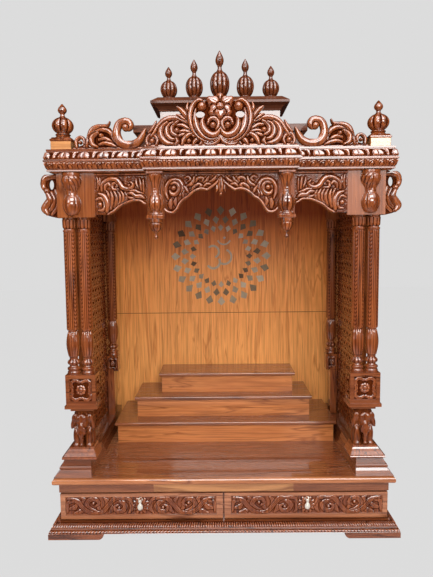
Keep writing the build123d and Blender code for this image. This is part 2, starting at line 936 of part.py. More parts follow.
cornice_profile = [
    (-cornice_wall, ceiling_thick),
    (0, ceiling_thick),
    (0, 0),
    (cornice_reach - 20, 0),
    (cornice_reach - 14, 3),
    (cornice_reach - 7.5, 3),
    (cornice_reach - 7.5, 7),
    (cornice_reach - 9.5, 8),
    (cornice_reach - 2.5, cornice_height - 37),
    (cornice_reach, cornice_height - 36),
    (cornice_reach, cornice_height - 32),
    (cornice_reach - 2, cornice_height - 31),
    (cornice_reach - 9.5, cornice_height - 6),
    (cornice_reach - 8, cornice_height - 5),
    (cornice_reach - 8, cornice_height),
    (-cornice_wall, cornice_height),
]
side_run = moulding(
    (-cornice_half, front, shrine_top), (-1, 0, 0), case_depth, cornice_profile, 1, 0
)
with BuildPart() as cornice_sides:
    add(both_sides(side_run))
finish(cornice_sides, "cornice_sides")

left_front_run = moulding(
    (-breakfront_half, front, shrine_top),
    (0, -1, 0),
    cornice_half - breakfront_half,
    cornice_profile,
    -1,
    1,
)
with BuildPart() as cornice_front_runs:
    add(both_sides(left_front_run))
finish(cornice_front_runs, "cornice_front_runs")

centre_run = moulding(
    (breakfront_half, front - breakfront_step, shrine_top),
    (0, -1, 0),
    2 * breakfront_half,
    cornice_profile,
    1,
    1,
)
return_run = moulding(
    (-breakfront_half, front - breakfront_step, shrine_top),
    (-1, 0, 0),
    breakfront_step,
    cornice_profile,
    1,
    -1,
)
with BuildPart() as cornice_breakfront:
    add(centre_run)
    add(both_sides(return_run))
finish(cornice_breakfront, "cornice_breakfront")

roof_half = cornice_half - cornice_wall
roof_rear = rear - cornice_wall
with BuildPart() as roof_back_rail:
    slab(-roof_half, roof_half, roof_rear, rear, shrine_top + ceiling_thick, roof_top)
finish(roof_back_rail, "roof_back_rail")

break_inner = breakfront_half - cornice_wall
break_front = front - breakfront_step + cornice_wall
with BuildPart() as roof_board:
    slab(-roof_half, roof_half, front + cornice_wall, roof_rear, roof_top - thin_board, roof_top)
    slab(-break_inner, break_inner, break_front, front + cornice_wall, roof_top - thin_board, roof_top)
finish(roof_board, "roof_board")

# Stepped roof: a low tier, a box and its coved cap
tier_y = front + tier_front
with BuildPart() as roof_tier:
    courses(
        -tier_half,
        tier_half,
        tier_y,
        tier_y + tier_depth,
        roof_top,
        [(tier_height - tier_slab, -thin_board, -thin_board), (tier_slab, 0, 0)],
    )
finish(roof_tier, "roof_tier")

box_y = front + roof_box_front
with BuildPart() as roof_box:
    slab(-roof_box_half, roof_box_half, box_y, box_y + roof_box_depth, tier_top, box_top)
finish(roof_box, "roof_box")

cap_edge = roof_cap_height / 6
cap_slope = roof_cap_height - 20 - cap_edge
with BuildPart() as roof_cap:
    courses(
        -roof_box_half,
        roof_box_half,
        box_y,
        box_y + roof_box_depth,
        box_top,
        [
            (5, 3, 4),
            (8, 4, 12),
            (7, 12, roof_cap_reach),
            (cap_edge, roof_cap_reach, roof_cap_reach),
            (cap_slope, roof_cap_reach, 6),
        ],
    )
finish(roof_cap, "roof_cap")

# Finials: a melon bulb on a foot with a teardrop tip
with BuildPart() as roof_finials:
    for number, (height, radius) in enumerate(zip(finial_heights, finial_radii)):
        for side in ((-1, 1) if number else (1,)):
            finial_x = side * number * finial_spacing
            turned(finial_x, front + finial_set, cap_top, finial_outline(height, radius))
finish(roof_finials, "roof_finials")

corner_x = case_half - corner_finial_side_set
corner_half = corner_block_width / 2
corner_y = front - corner_finial_front_set + corner_half
corner_top = roof_top + corner_block_height + corner_slab_height
with BuildPart() as corner_finials:
    courses(
        corner_x - corner_half,
        corner_x + corner_half,
        corner_y - corner_half,
        corner_y + corner_half,
        roof_top,
        [(corner_block_height, 0, 0), (corner_slab_height, corner_slab_reach, corner_slab_reach)],
    )
    turned(
        corner_x,
        corner_y,
        corner_top,
        finial_outline(corner_finial_height, corner_finial_radius),
    )
    mirror(about=Plane.YZ)
finish(corner_finials, "corner_finials")

# Crest: pierced scrollwork over the breakfront, a carved ground with raised scrolls
crest_face = front - crest_front_set
rosette_height = 0.755 * crest_height
end_eye = (crest_half - 15, 25)
outer_eye = (crest_half - 91, 46)
crest_back = face_plane(0, crest_face + crest_thick, roof_top)
with BuildPart() as crest_centre:
    with BuildSketch(crest_back):
        with Locations((crest_half / 2, 7)):
            Rectangle(crest_half, 14)
        with Locations((44, 70)):
            Ellipse(47, 57)
        with Locations((15, 70)):
            Rectangle(32, 70)
        eye(outer_eye, 41)
        eye(end_eye, 17)
        leaf((92, 50), (112, 108), 26, 4)
        leaf((150, 30), (171, 76), 20, 4)
        leaf((165, 24), (191, 74), 18, 5)
        with Locations((57, 91)):
            Ellipse(16, 10, mode=Mode.SUBTRACT)
        with Locations((93, 34)):
            Ellipse(6, 8, mode=Mode.SUBTRACT)
        mirror(about=Plane.YZ)
    extrude(amount=crest_ground)
    with BuildSketch(crest_back):
        eye((50, 110), 14)
        eye((17, 60), 13)
        eye(outer_eye, 13)
        eye(end_eye, 12)
        ribbon((40, 122), (72, 122), (84, 84), 14)
        ribbon((84, 84), (72, 42), (40, 28), 15)
        ribbon((40, 28), (18, 32), (-2, 44), 12)
        ribbon((38, 84), (49, 66), (32, 43), 9)
        ribbon((92, 62), (132, 84), (165, 62), 12)
        ribbon((165, 62), (172, 36), (148, 12), 12)
        ribbon((172, 34), (196, 50), (crest_half + 2, 24), 8)
        leaf((88, 60), (112, 108), 16, 4)
        leaf((150, 40), (171, 76), 12, 3)
        leaf((165, 34), (191, 74), 11, 3)
        leaf((112, 18), (152, 40), 14, -6)
        leaf((60, 8), (110, 20), 12, -4)
        mirror(about=Plane.YZ)
        eye((0, rosette_height), 34)
        leaf((0, rosette_height), (0, crest_height), 22)
    extrude(amount=crest_thick)
    with BuildSketch(face_plane(0, crest_face, roof_top + rosette_height)):
        eye((0, 0), 12)
        with PolarLocations(22, 6, start_angle=30):
            Circle(9)
    extrude(amount=relief)
finish(crest_centre, "crest_centre")

# Wings: a C-scroll, an acanthus and a small volute that ends at the corner block
wing_face = front - wing_front_set
wing_outer = corner_x - corner_half - corner_slab_reach - seat_gap
volute_radius = 16
leaf_eye = (wing_outer - 80, 34)
scroll_top = (wing_inner + 44, wing_height - 8)
with BuildPart() as crest_wings:
    with BuildSketch(face_plane(0, wing_face + crest_thick, roof_top)):
        wing_length = wing_outer - wing_inner
        with Locations((wing_inner + wing_length / 2, 6)):
            Rectangle(wing_length, 12)
        with Locations((wing_outer - 82, 34)):
            Ellipse(42, 32)
        leaf((wing_outer - 90, 40), (wing_inner + 94, 76), 22, -4)
        leaf((wing_outer - 70, 12), (wing_outer - 24, 18), 18)
        ribbon((wing_inner + 76, 58), (wing_inner + 68, 24), (wing_inner + 38, 10), 17)
    extrude(amount=crest_ground)
    with BuildSketch(face_plane(0, wing_face + crest_thick, roof_top)):
        eye((wing_outer - volute_radius, 8 + volute_radius), volute_radius)
        ribbon((wing_inner + 32, 68), scroll_top, (wing_inner + 76, 58), 15)
        ribbon((wing_inner + 76, 58), (wing_inner + 68, 24), (wing_inner + 38, 10), 15)
        ribbon((wing_inner + 38, 10), (wing_inner + 16, 14), (wing_inner + 6, 32), 12)
        eye((wing_inner + 40, 66), 9)
        eye(leaf_eye, 10)
        ribbon((wing_outer - 66, 46), (wing_outer - 54, 28), (wing_outer - 66, 10), 9)
        ribbon((wing_outer - 50, 34), (wing_outer - 80, 62), (wing_outer - 112, 60), 9)
        leaf((wing_outer - 88, 42), (wing_inner + 96, 74), 14, -3)
    extrude(amount=crest_thick)
    mirror(about=Plane.YZ)
finish(crest_wings, "crest_wings")
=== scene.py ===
import json
from math import cos, pi, radians, sin

import bmesh
import bpy
import numpy as np
from mathutils import Matrix, Vector


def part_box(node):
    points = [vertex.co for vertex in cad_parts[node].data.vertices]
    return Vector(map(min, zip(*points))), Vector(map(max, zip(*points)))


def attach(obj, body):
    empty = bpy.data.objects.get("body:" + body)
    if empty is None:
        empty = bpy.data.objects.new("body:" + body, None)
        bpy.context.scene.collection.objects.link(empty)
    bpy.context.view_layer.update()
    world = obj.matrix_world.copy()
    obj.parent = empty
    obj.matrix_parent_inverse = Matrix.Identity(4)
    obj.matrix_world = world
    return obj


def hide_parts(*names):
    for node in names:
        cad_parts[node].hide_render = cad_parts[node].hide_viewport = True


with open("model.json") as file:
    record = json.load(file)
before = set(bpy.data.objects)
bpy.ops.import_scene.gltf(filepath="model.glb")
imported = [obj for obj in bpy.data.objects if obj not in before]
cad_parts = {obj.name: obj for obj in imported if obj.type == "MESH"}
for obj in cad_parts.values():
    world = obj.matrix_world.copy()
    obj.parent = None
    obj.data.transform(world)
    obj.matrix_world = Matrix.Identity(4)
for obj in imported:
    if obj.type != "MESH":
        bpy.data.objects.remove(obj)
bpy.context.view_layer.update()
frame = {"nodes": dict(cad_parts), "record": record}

scene = bpy.context.scene
MM = 0.001


def look(name):
    """A new node material, its node tree and its Principled shader."""
    material = bpy.data.materials.new(name)
    material.use_nodes = True
    tree = material.node_tree
    return material, tree, tree.nodes["Principled BSDF"]


def feed(tree, socket, value):
    """Wires a socket to another one, or gives it a fixed number, vector or colour."""
    if isinstance(value, bpy.types.NodeSocket):
        tree.links.new(value, socket)
    elif isinstance(value, tuple) and len(value) < len(socket.default_value):
        socket.default_value = (*value, 1)
    else:
        socket.default_value = value


def node(tree, kind, *inputs, **named):
    """A shader node, given its first inputs in order, and other inputs and settings by name."""
    made = tree.nodes.new("ShaderNode" + kind)
    for key, value in named.items():
        if hasattr(made, key):
            setattr(made, key, value)
        else:
            feed(tree, made.inputs[key.replace("_", " ")], value)
    for socket, value in zip(made.inputs, inputs):
        feed(tree, socket, value)
    return made


def maths(tree, operation, *values):
    """The result of a Math node."""
    return node(tree, "Math", *values, operation=operation).outputs[0]


def moved(tree, value, low, high, to_low=0.0, to_high=1.0):
    """A value carried over from one range to another."""
    return node(tree, "MapRange", Value=value, From_Min=low, From_Max=high, To_Min=to_low,
                To_Max=to_high).outputs[0]


def ramp(tree, source, stops):
    """A colour ramp of (place, colour) stops driven by a value."""
    made = node(tree, "ValToRGB", source)
    elements = made.color_ramp.elements
    while len(elements) < len(stops):
        elements.new(0.5)
    for element, (place, colour) in zip(elements, stops):
        element.position = place
        element.color = (*colour, 1)
    return made.outputs["Color"]


def mixed(tree, factor, first, second, kind="MULTIPLY"):
    """Two colours mixed by a factor."""
    made = node(tree, "Mix", factor, data_type="RGBA", blend_type=kind)
    feed(tree, made.inputs[6], first)
    feed(tree, made.inputs[7], second)
    return made.outputs[2]


def teak(name, dark, mid, light, grain, figure, rough, coat, carved=False, haze=0.06, shade_by_height=None, nosing=None):
    """Varnished teak: long fibres, pores and a slow figure along the grain, under a clear coat."""
    material, tree, shader = look(name)
    place = node(tree, "TexCoord").outputs["Object"]

    def grained(lengthwise, across, **noise):
        scale = tuple(lengthwise if axis == grain else across for axis in "XYZ")
        vector = node(tree, "Mapping", Vector=place, Scale=scale).outputs[0]
        return node(tree, "TexNoise", Vector=vector, Scale=1.0, **noise).outputs["Fac"]

    slow = grained(1.2, 14, Detail=4.0, Roughness=0.55, Distortion=0.6)
    fibre = grained(5, 160, Detail=3.0, Roughness=0.6)
    bands = maths(tree, "PINGPONG", maths(tree, "MULTIPLY", slow, 9.0 * figure), 1.0)
    wood = ramp(tree, bands, [(0.0, mid), (0.75, light), (1.0, dark)])
    pores = ramp(tree, fibre, [(0.36, (0.45, 0.4, 0.36)), (0.56, (1, 1, 1))])
    colour = mixed(tree, 0.55, wood, pores)
    if shade_by_height:
        # Painted shade by height, darker towards the top
        height = node(tree, "SeparateXYZ", place).outputs["Z"]
        colour = mixed(tree, 1.0, colour, ramp(tree, height, shade_by_height))
    if nosing:
        # Painted highlight: wood in front of the nosing line is lifted towards white, partly a lighter teak
        # lipping
        depth = node(tree, "SeparateXYZ", place).outputs["Y"]
        lighter_nosing_and_highlight = mixed(tree, 1.0, colour, (1.75, 2.1, 2.2))
        colour = mixed(tree, moved(tree, depth, nosing, nosing + 0.001), lighter_nosing_and_highlight, colour, "MIX")
    if carved:
        # Painted shade and highlight: the cavity value darkens grooves, cut walls and the carved ground, and
        # lightens ridges; it also thins the coat there
        openness = node(tree, "Attribute", attribute_name="cavity").outputs["Fac"]
        painted_cavity_shade = [(0.08, (0.14, 0.075, 0.06)), (0.45, (0.82, 0.75, 0.7)), (0.9, (1.1, 1.12, 1.15))]
        colour = mixed(tree, 1.0, colour, ramp(tree, openness, painted_cavity_shade))
        shine = moved(tree, openness, 0.2, 0.5, 0.0, coat)
        feed(tree, shader.inputs["Coat Weight"], shine)
        feed(tree, shader.inputs["Specular IOR Level"], maths(tree, "MULTIPLY", shine, 0.2))
    else:
        shader.inputs["Specular IOR Level"].default_value = 0.2
        shader.inputs["Coat Weight"].default_value = coat
    bump = node(tree, "Bump", Strength=0.12, Distance=0.0006, Height=fibre).outputs[0]
    feed(tree, shader.inputs["Base Color"], colour)
    feed(tree, shader.inputs["Roughness"], moved(tree, fibre, 0.0, 1.0, rough - 0.06, rough + 0.08))
    feed(tree, shader.inputs["Normal"], bump)
    shader.inputs["Coat Roughness"].default_value = haze
    shader.inputs["Coat IOR"].default_value = 1.9
    return material


def plated(name, colour, rough, metal, panes=False):
    """Polished metal or mirror with faint smudges in its gloss; panes get a painted reflection tone each."""
    material, tree, shader = look(name)
    place = node(tree, "TexCoord").outputs["Object"]
    smudge = node(tree, "TexNoise", Vector=place, Scale=60.0, Detail=3.0).outputs["Fac"]
    tint = ramp(tree, smudge, [(0.3, tuple(0.8 * channel for channel in colour)), (0.7, colour)])
    if panes:
        # Painted reflection: each pane's random value tints it from dark brown to beige, standing in for what
        # it reflects
        pane = node(tree, "Attribute", attribute_name="cavity").outputs["Fac"]
        painted_reflection_tones = [(0, (0.22, 0.14, 0.09)), (0.5, (0.6, 0.51, 0.4)), (1, (1, 0.92, 0.8))]
        tint = mixed(tree, 1.0, tint, ramp(tree, pane, painted_reflection_tones))
    feed(tree, shader.inputs["Base Color"], tint)
    feed(tree, shader.inputs["Roughness"], moved(tree, smudge, 0.0, 1.0, rough, rough + 0.15))
    shader.inputs["Metallic"].default_value = metal
    return material


# Linear colours of the vessel lines, the wood between them and its lightest bands,
# then the grain's direction, the figure's density, roughness and coat
WOODS = {
    "carved_teak": ((0.1, 0.022, 0.006), (0.19, 0.043, 0.011), (0.31, 0.084, 0.022), "Z", 1.0, 0.2, 1.0),
    "finial_teak": ((0.06, 0.014, 0.004), (0.12, 0.028, 0.008), (0.18, 0.046, 0.013), "Z", 1.0, 0.2, 0.7),
    "moulded_teak": ((0.07, 0.016, 0.005), (0.165, 0.041, 0.013), (0.24, 0.067, 0.022), "X", 1.0, 0.24, 0.9),
    "plain_teak_x": ((0.13, 0.033, 0.011), (0.23, 0.067, 0.023), (0.31, 0.1, 0.036), "X", 1.0, 0.25, 0.8),
    "plain_teak_z": ((0.14, 0.034, 0.009), (0.235, 0.063, 0.016), (0.3, 0.086, 0.024), "Z", 1.0, 0.25, 0.8),
    "rail_teak": ((0.3, 0.11, 0.035), (0.5, 0.21, 0.075), (0.6, 0.27, 0.1), "X", 0.7, 0.25, 0.8),
    "box_teak": ((0.05, 0.014, 0.006), (0.1, 0.028, 0.012), (0.14, 0.042, 0.018), "X", 1.0, 0.3, 0.8),
    "dark_teak": ((0.05, 0.014, 0.006), (0.1, 0.028, 0.012), (0.14, 0.042, 0.018), "X", 1.0, 0.3, 0.12),
    "drawer_teak": ((0.183, 0.056, 0.024), (0.325, 0.114, 0.05), (0.437, 0.17, 0.079), "X", 1.0, 0.25, 0.8),
    "riser_veneer": ((0.32, 0.1, 0.028), (0.48, 0.16, 0.048), (0.56, 0.2, 0.062), "X", 1.2, 0.32, 0.5),
    "drawer_plywood": ((0.42, 0.24, 0.12), (0.55, 0.35, 0.19), (0.62, 0.42, 0.25), "Y", 1.0, 0.5, 0.1),
}
CARVED = ("carved_teak", "finial_teak")
looks = {name: teak(name, *values, carved=name in CARVED) for name, values in WOODS.items()}
carved_teak = looks["carved_teak"]
# The deck's front edge is painted lighter than its top: a lighter teak lipping, and a painted highlight along
# its nose
DECK_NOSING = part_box("deck")[0][1] + 0.011
deck_teak = teak("deck_teak", (0.12, 0.028, 0.009), (0.21, 0.057, 0.019), (0.28, 0.085, 0.03), "X", 1.0, 0.25,
                 0.8, nosing=DECK_NOSING)
# Painted shade: the back is painted darker and redder towards the ceiling, where the arch shades it, by
# heights in metres
BACK_PAINTED_SHADE = [(0.45, (1, 1, 1)), (0.8, (1, 0.85, 0.68)), (0.92, (0.85, 0.56, 0.36)), (1.0, (0.42, 0.17, 0.07))]
back_veneer = teak("panel_veneer", (0.6, 0.215, 0.052), (0.76, 0.31, 0.082), (0.84, 0.36, 0.1), "Z", 1.6, 0.4,
                   0.08, haze=0.2, shade_by_height=BACK_PAINTED_SHADE)
brass = plated("pull_brass", (0.95, 0.9, 0.8), 0.3, 0.5)
mirror = plated("mirror_glass", (0.72, 0.62, 0.5), 0.08, 0.3, True)
om_mirror = plated("om_mirror_glass", (0.62, 0.48, 0.32), 0.1, 0.3)

SLOT_LOOKS = {
    "plain_teak": looks["plain_teak_x"], "carved_teak": looks["moulded_teak"],
    "panel_veneer": back_veneer, "riser_veneer": looks["riser_veneer"],
    "drawer_plywood": looks["drawer_plywood"], "pull_brass": brass, "mirror_glass": mirror,
}
NODE_LOOKS = {
    "deck": deck_teak, "mirror_om": om_mirror, "front_rail_middle": looks["rail_teak"],
    "roof_box": looks["box_teak"], "roof_cap": looks["dark_teak"], "roof_tier": looks["dark_teak"],
    "left_drawer_front": looks["drawer_teak"], "right_drawer_front": looks["drawer_teak"],
}
for upright in ("capital_blocks", "front_strips", "side_panels", "cabinet_sides"):
    NODE_LOOKS[upright] = looks["plain_teak_z"]
for part in frame["record"]["subparts"]:
    for slot in frame["nodes"][part["node"]].material_slots:
        slot.material = NODE_LOOKS.get(part["node"], SLOT_LOOKS[part["material_slot"]])


# Relief carving: height fields in millimetres, drawn as strokes and turned into meshes


def curve(points, samples=9):
    """A smooth line through the points."""
    given = np.array(points, float)
    padded = np.vstack([2 * given[0] - given[1], given, 2 * given[-1] - given[-2]])
    share = np.linspace(0, 1, samples, endpoint=False)[:, None]
    pieces = []
    for a, b, c, d in zip(padded[:-3], padded[1:-2], padded[2:-1], padded[3:]):
        bend = (2 * a - 5 * b + 4 * c - d) * share**2 + (3 * b - a - 3 * c + d) * share**3
        pieces.append(0.5 * (2 * b + (c - a) * share + bend))
    return np.vstack(pieces + [given[-1:]])


def nearest(path, u, v):
    """The distance of points from a line, and how far along it they lie, from 0 to 1."""
    best = np.full(u.shape, 1e9)
    along = np.zeros(u.shape)
    steps = np.diff(path, axis=0)
    lengths = np.hypot(steps[:, 0], steps[:, 1])
    walked = 0.0
    for (x, y), (dx, dy), length in zip(path[:-1], steps, lengths):
        if length == 0:
            continue
        reach = np.clip(((u - x) * dx + (v - y) * dy) / length, 0, length)
        distance = np.hypot(u - x - reach * dx / length, v - y - reach * dy / length)
        closer = distance < best
        best = np.where(closer, distance, best)
        along = np.where(closer, (walked + reach) / lengths.sum(), along)
        walked += length
    return best, along


def blurred(values, rounds=5):
    """Values on a grid, smoothed with their neighbours."""
    for _ in range(rounds):
        wide = np.pad(values, 1, mode="edge")
        values = (wide[1:-1, :-2] + wide[1:-1, 2:] + wide[:-2, 1:-1] + wide[2:, 1:-1] + values) / 5
    return values


def hollows(height, bed):
    """How open each point of a carved surface lies, from 0 in a groove or on its bed to 1 on a ridge; the
    carved teak paints shade where it is low and a highlight where it is high.
    """
    openness = np.clip(0.5 + (height - blurred(height)) / 2.2, 0, 1)
    return openness * (0.3 + 0.7 * np.clip((height - bed) / (0.3 * max(height.max() - bed, 1)), 0, 1))


def grid_faces(rows, columns, closed=False):
    """Triangles of a grid of points; a closed grid joins its last column to its first."""
    across = columns if closed else columns - 1
    row, column = np.meshgrid(np.arange(rows - 1), np.arange(across), indexing="ij")
    a = (row * columns + column).ravel()
    b = (row * columns + (column + 1) % columns).ravel()
    c = b + columns
    d = a + columns
    return np.vstack([np.column_stack([a, b, c]), np.column_stack([a, c, d])])


def clip(points, level, triangles):
    """The part of a mesh where its level is positive, and the pairs of points on its cut edge."""
    positive = level > 0
    count = positive[triangles].sum(axis=1)
    added, faces, rim, made = [], [], [], {}

    def crossing(a, b):
        key = (min(a, b), max(a, b))
        if key not in made:
            share = level[key[0]] / (level[key[0]] - level[key[1]])
            made[key] = len(points) + len(added)
            added.append(points[key[0]] + share * (points[key[1]] - points[key[0]]))
        return made[key]

    for corner in triangles[(count == 1) | (count == 2)].tolist():
        for turn in range(3):
            a, b, c = corner[turn], corner[(turn + 1) % 3], corner[(turn + 2) % 3]
            if positive[a] and not positive[b] and not positive[c]:
                p, q = crossing(a, b), crossing(a, c)
                faces.append((a, p, q))
                rim.append((p, q))
            elif positive[a] and positive[b] and not positive[c]:
                p, q = crossing(b, c), crossing(a, c)
                faces += [(a, b, p), (a, p, q)]
                rim.append((p, q))
    kept = triangles[count == 3]
    if faces:
        kept = np.vstack([kept, np.array(faces)])
        points = np.vstack([points, np.array(added)])
    return points, kept, np.array(rim, int).reshape(-1, 2)


def raised(across, form):
    """The cross section of a carved member, from its middle (0) to its edge (1)."""
    dome = np.sqrt(np.clip(1 - across**2, 0, 1))
    if form == "leaf":
        return (0.25 + 0.75 * dome) * (1 - 0.4 * np.exp(-((across / 0.16) ** 2)))
    if form == "flute":
        return (0.2 + 0.8 * dome) * (0.82 + 0.18 * np.cos(3 * pi * across))
    return 0.2 + 0.8 * dome


class Relief:
    """A carved face over (u, v): its height, and how far each point lies inside its outline."""

    def __init__(self, left, right, low, high, step, ground=0.0, mirrored=False, pierced=False, full=1.0):
        self.u = np.linspace(left, right, int(round((right - left) / step)) + 1)
        self.v = np.linspace(low, high, int(round((high - low) / step)) + 1)
        self.U, self.V = np.meshgrid(self.u, self.v)
        self.draw_u = np.abs(self.U) if mirrored else self.U
        self.height = np.full(self.U.shape, float(ground))
        self.bed = ground
        self.full = full
        self.inside = np.full(self.U.shape, -9.0 if pierced else 9.0)

    def near(self, path, margin):
        """The points within a margin of a line's box."""
        low, high = np.min(path, axis=0) - margin, np.max(path, axis=0) + margin
        wide = (self.draw_u > low[0]) & (self.draw_u < high[0])
        return wide & (self.V > low[1]) & (self.V < high[1])

    def lay(self, chosen, edge, shape, groove=1.6):
        """Lays a member over what is there, with a thin sunk line round it."""
        height = self.height[chosen]
        sunk = height * (1 - 0.7 * np.clip(1 + edge / groove, 0, 1))
        self.height[chosen] = np.where(edge >= 0, shape, sunk)
        self.inside[chosen] = np.maximum(self.inside[chosen], edge)

    def stroke(self, points, widths, height, form="round", lobes=0, smooth=True):
        """A stem, scroll or leaf along a line, given its half widths from start to end."""
        path = curve(points) if smooth else np.array(points, float)
        widths = np.asarray(widths, float) * self.full
        chosen = self.near(path, widths.max() + 3)
        distance, along = nearest(path, self.draw_u[chosen], self.V[chosen])
        half = np.interp(along, np.linspace(0, 1, len(widths)), widths)
        across = distance / np.maximum(half, 0.01)
        fall = 1.0
        if lobes:
            ribs = np.abs(np.sin(pi * (lobes * along - 0.7 * across)))
            half = half * (0.7 + 0.3 * ribs)
            across = distance / np.maximum(half, 0.01)
            fall = 0.55 + 0.45 * np.sqrt(ribs)
        self.lay(chosen, half - distance, height * fall * raised(np.minimum(across, 1), form))

    def boss(self, centre, radius, height, stretch=1.0):
        """A round or oval knob."""
        chosen = self.near(np.array([centre]), radius * max(1, stretch) + 3)
        du, dv = self.draw_u[chosen] - centre[0], (self.V[chosen] - centre[1]) / stretch
        distance = np.hypot(du, dv)
        across = np.minimum(distance / radius, 1)
        self.lay(chosen, radius - distance, height * raised(across, "round"))

    def carve(self, *members):
        """Lays strokes (points, half widths, height) and knobs (centre, radius, height) in their order."""
        for member in members:
            (self.boss if np.ndim(member[0]) == 1 else self.stroke)(*member)

    def rosette(self, centre, radius, petals, height, heart):
        """A flower with rounded petals round a knob."""
        chosen = self.near(np.array([centre]), radius + 3)
        du, dv = self.draw_u[chosen] - centre[0], self.V[chosen] - centre[1]
        distance, angle = np.hypot(du, dv), np.arctan2(dv, du)
        petal = np.abs(np.cos(petals * angle / 2))
        edge = radius * (0.7 + 0.3 * np.sqrt(petal)) - distance
        bowl = np.sin(pi * np.clip(distance / radius, 0, 1) ** 1.3)
        vein = 1 - 0.3 * np.clip(1 - (1 - petal) * 12, 0, 1)
        shape = height * (0.3 + 0.7 * bowl) * (0.45 + 0.55 * petal**0.6) * vein
        self.lay(chosen, edge, shape)
        self.boss(centre, radius * heart, height * 1.15)

    def patch(self, points, height, soften=3.0):
        """A flat ground with a rounded edge inside a closed outline."""
        path = np.vstack([points, points[:1]]).astype(float)
        chosen = self.near(path, soften + 3)
        u, v = self.draw_u[chosen], self.V[chosen]
        within = np.zeros(u.shape, bool)
        for (x0, y0), (x1, y1) in zip(path[:-1], path[1:]):
            if y0 != y1:
                crosses = (v > min(y0, y1)) & (v <= max(y0, y1))
                within ^= crosses & (u < x0 + (v - y0) * (x1 - x0) / (y1 - y0))
        distance, _ = nearest(path, u, v)
        edge = np.where(within, distance, -distance)
        shape = height * np.sqrt(np.clip(1 - (1 - np.clip(edge / soften, 0, 1)) ** 2, 0, 1))
        self.lay(chosen, edge, shape)
        self.bed = max(self.bed, height)

    def hole(self, centre, radius, stretch=1.0):
        """An oval opening right through."""
        du, dv = self.draw_u - centre[0], (self.V - centre[1]) / stretch
        self.inside = np.minimum(self.inside, np.hypot(du, dv) - radius)

    def stipple(self, ground, amount, seed=1):
        """Punch marks in the ground between the raised members."""
        marks = np.random.default_rng(seed).random(self.height.shape)
        low = self.height <= ground + 0.4
        self.height = np.where(low, self.height - amount * marks, self.height)

    def at(self, u, v):
        """The carved height at any place, for a relief that is used as a pattern."""
        column = np.clip((u - self.u[0]) / (self.u[1] - self.u[0]), 0, len(self.u) - 1.001)
        row = np.clip((v - self.v[0]) / (self.v[1] - self.v[0]), 0, len(self.v) - 1.001)
        i, j = row.astype(int), column.astype(int)
        di, dj = row - i, column - j
        low = self.height[i, j] * (1 - dj) + self.height[i, j + 1] * dj
        high = self.height[i + 1, j] * (1 - dj) + self.height[i + 1, j + 1] * dj
        return low * (1 - di) + high * di

    def sunk_rim(self, depth=1.5):
        """Drops the outermost points behind the face on which the carving lies."""
        self.height[[0, -1], :] = -depth
        self.height[:, [0, -1]] = -depth


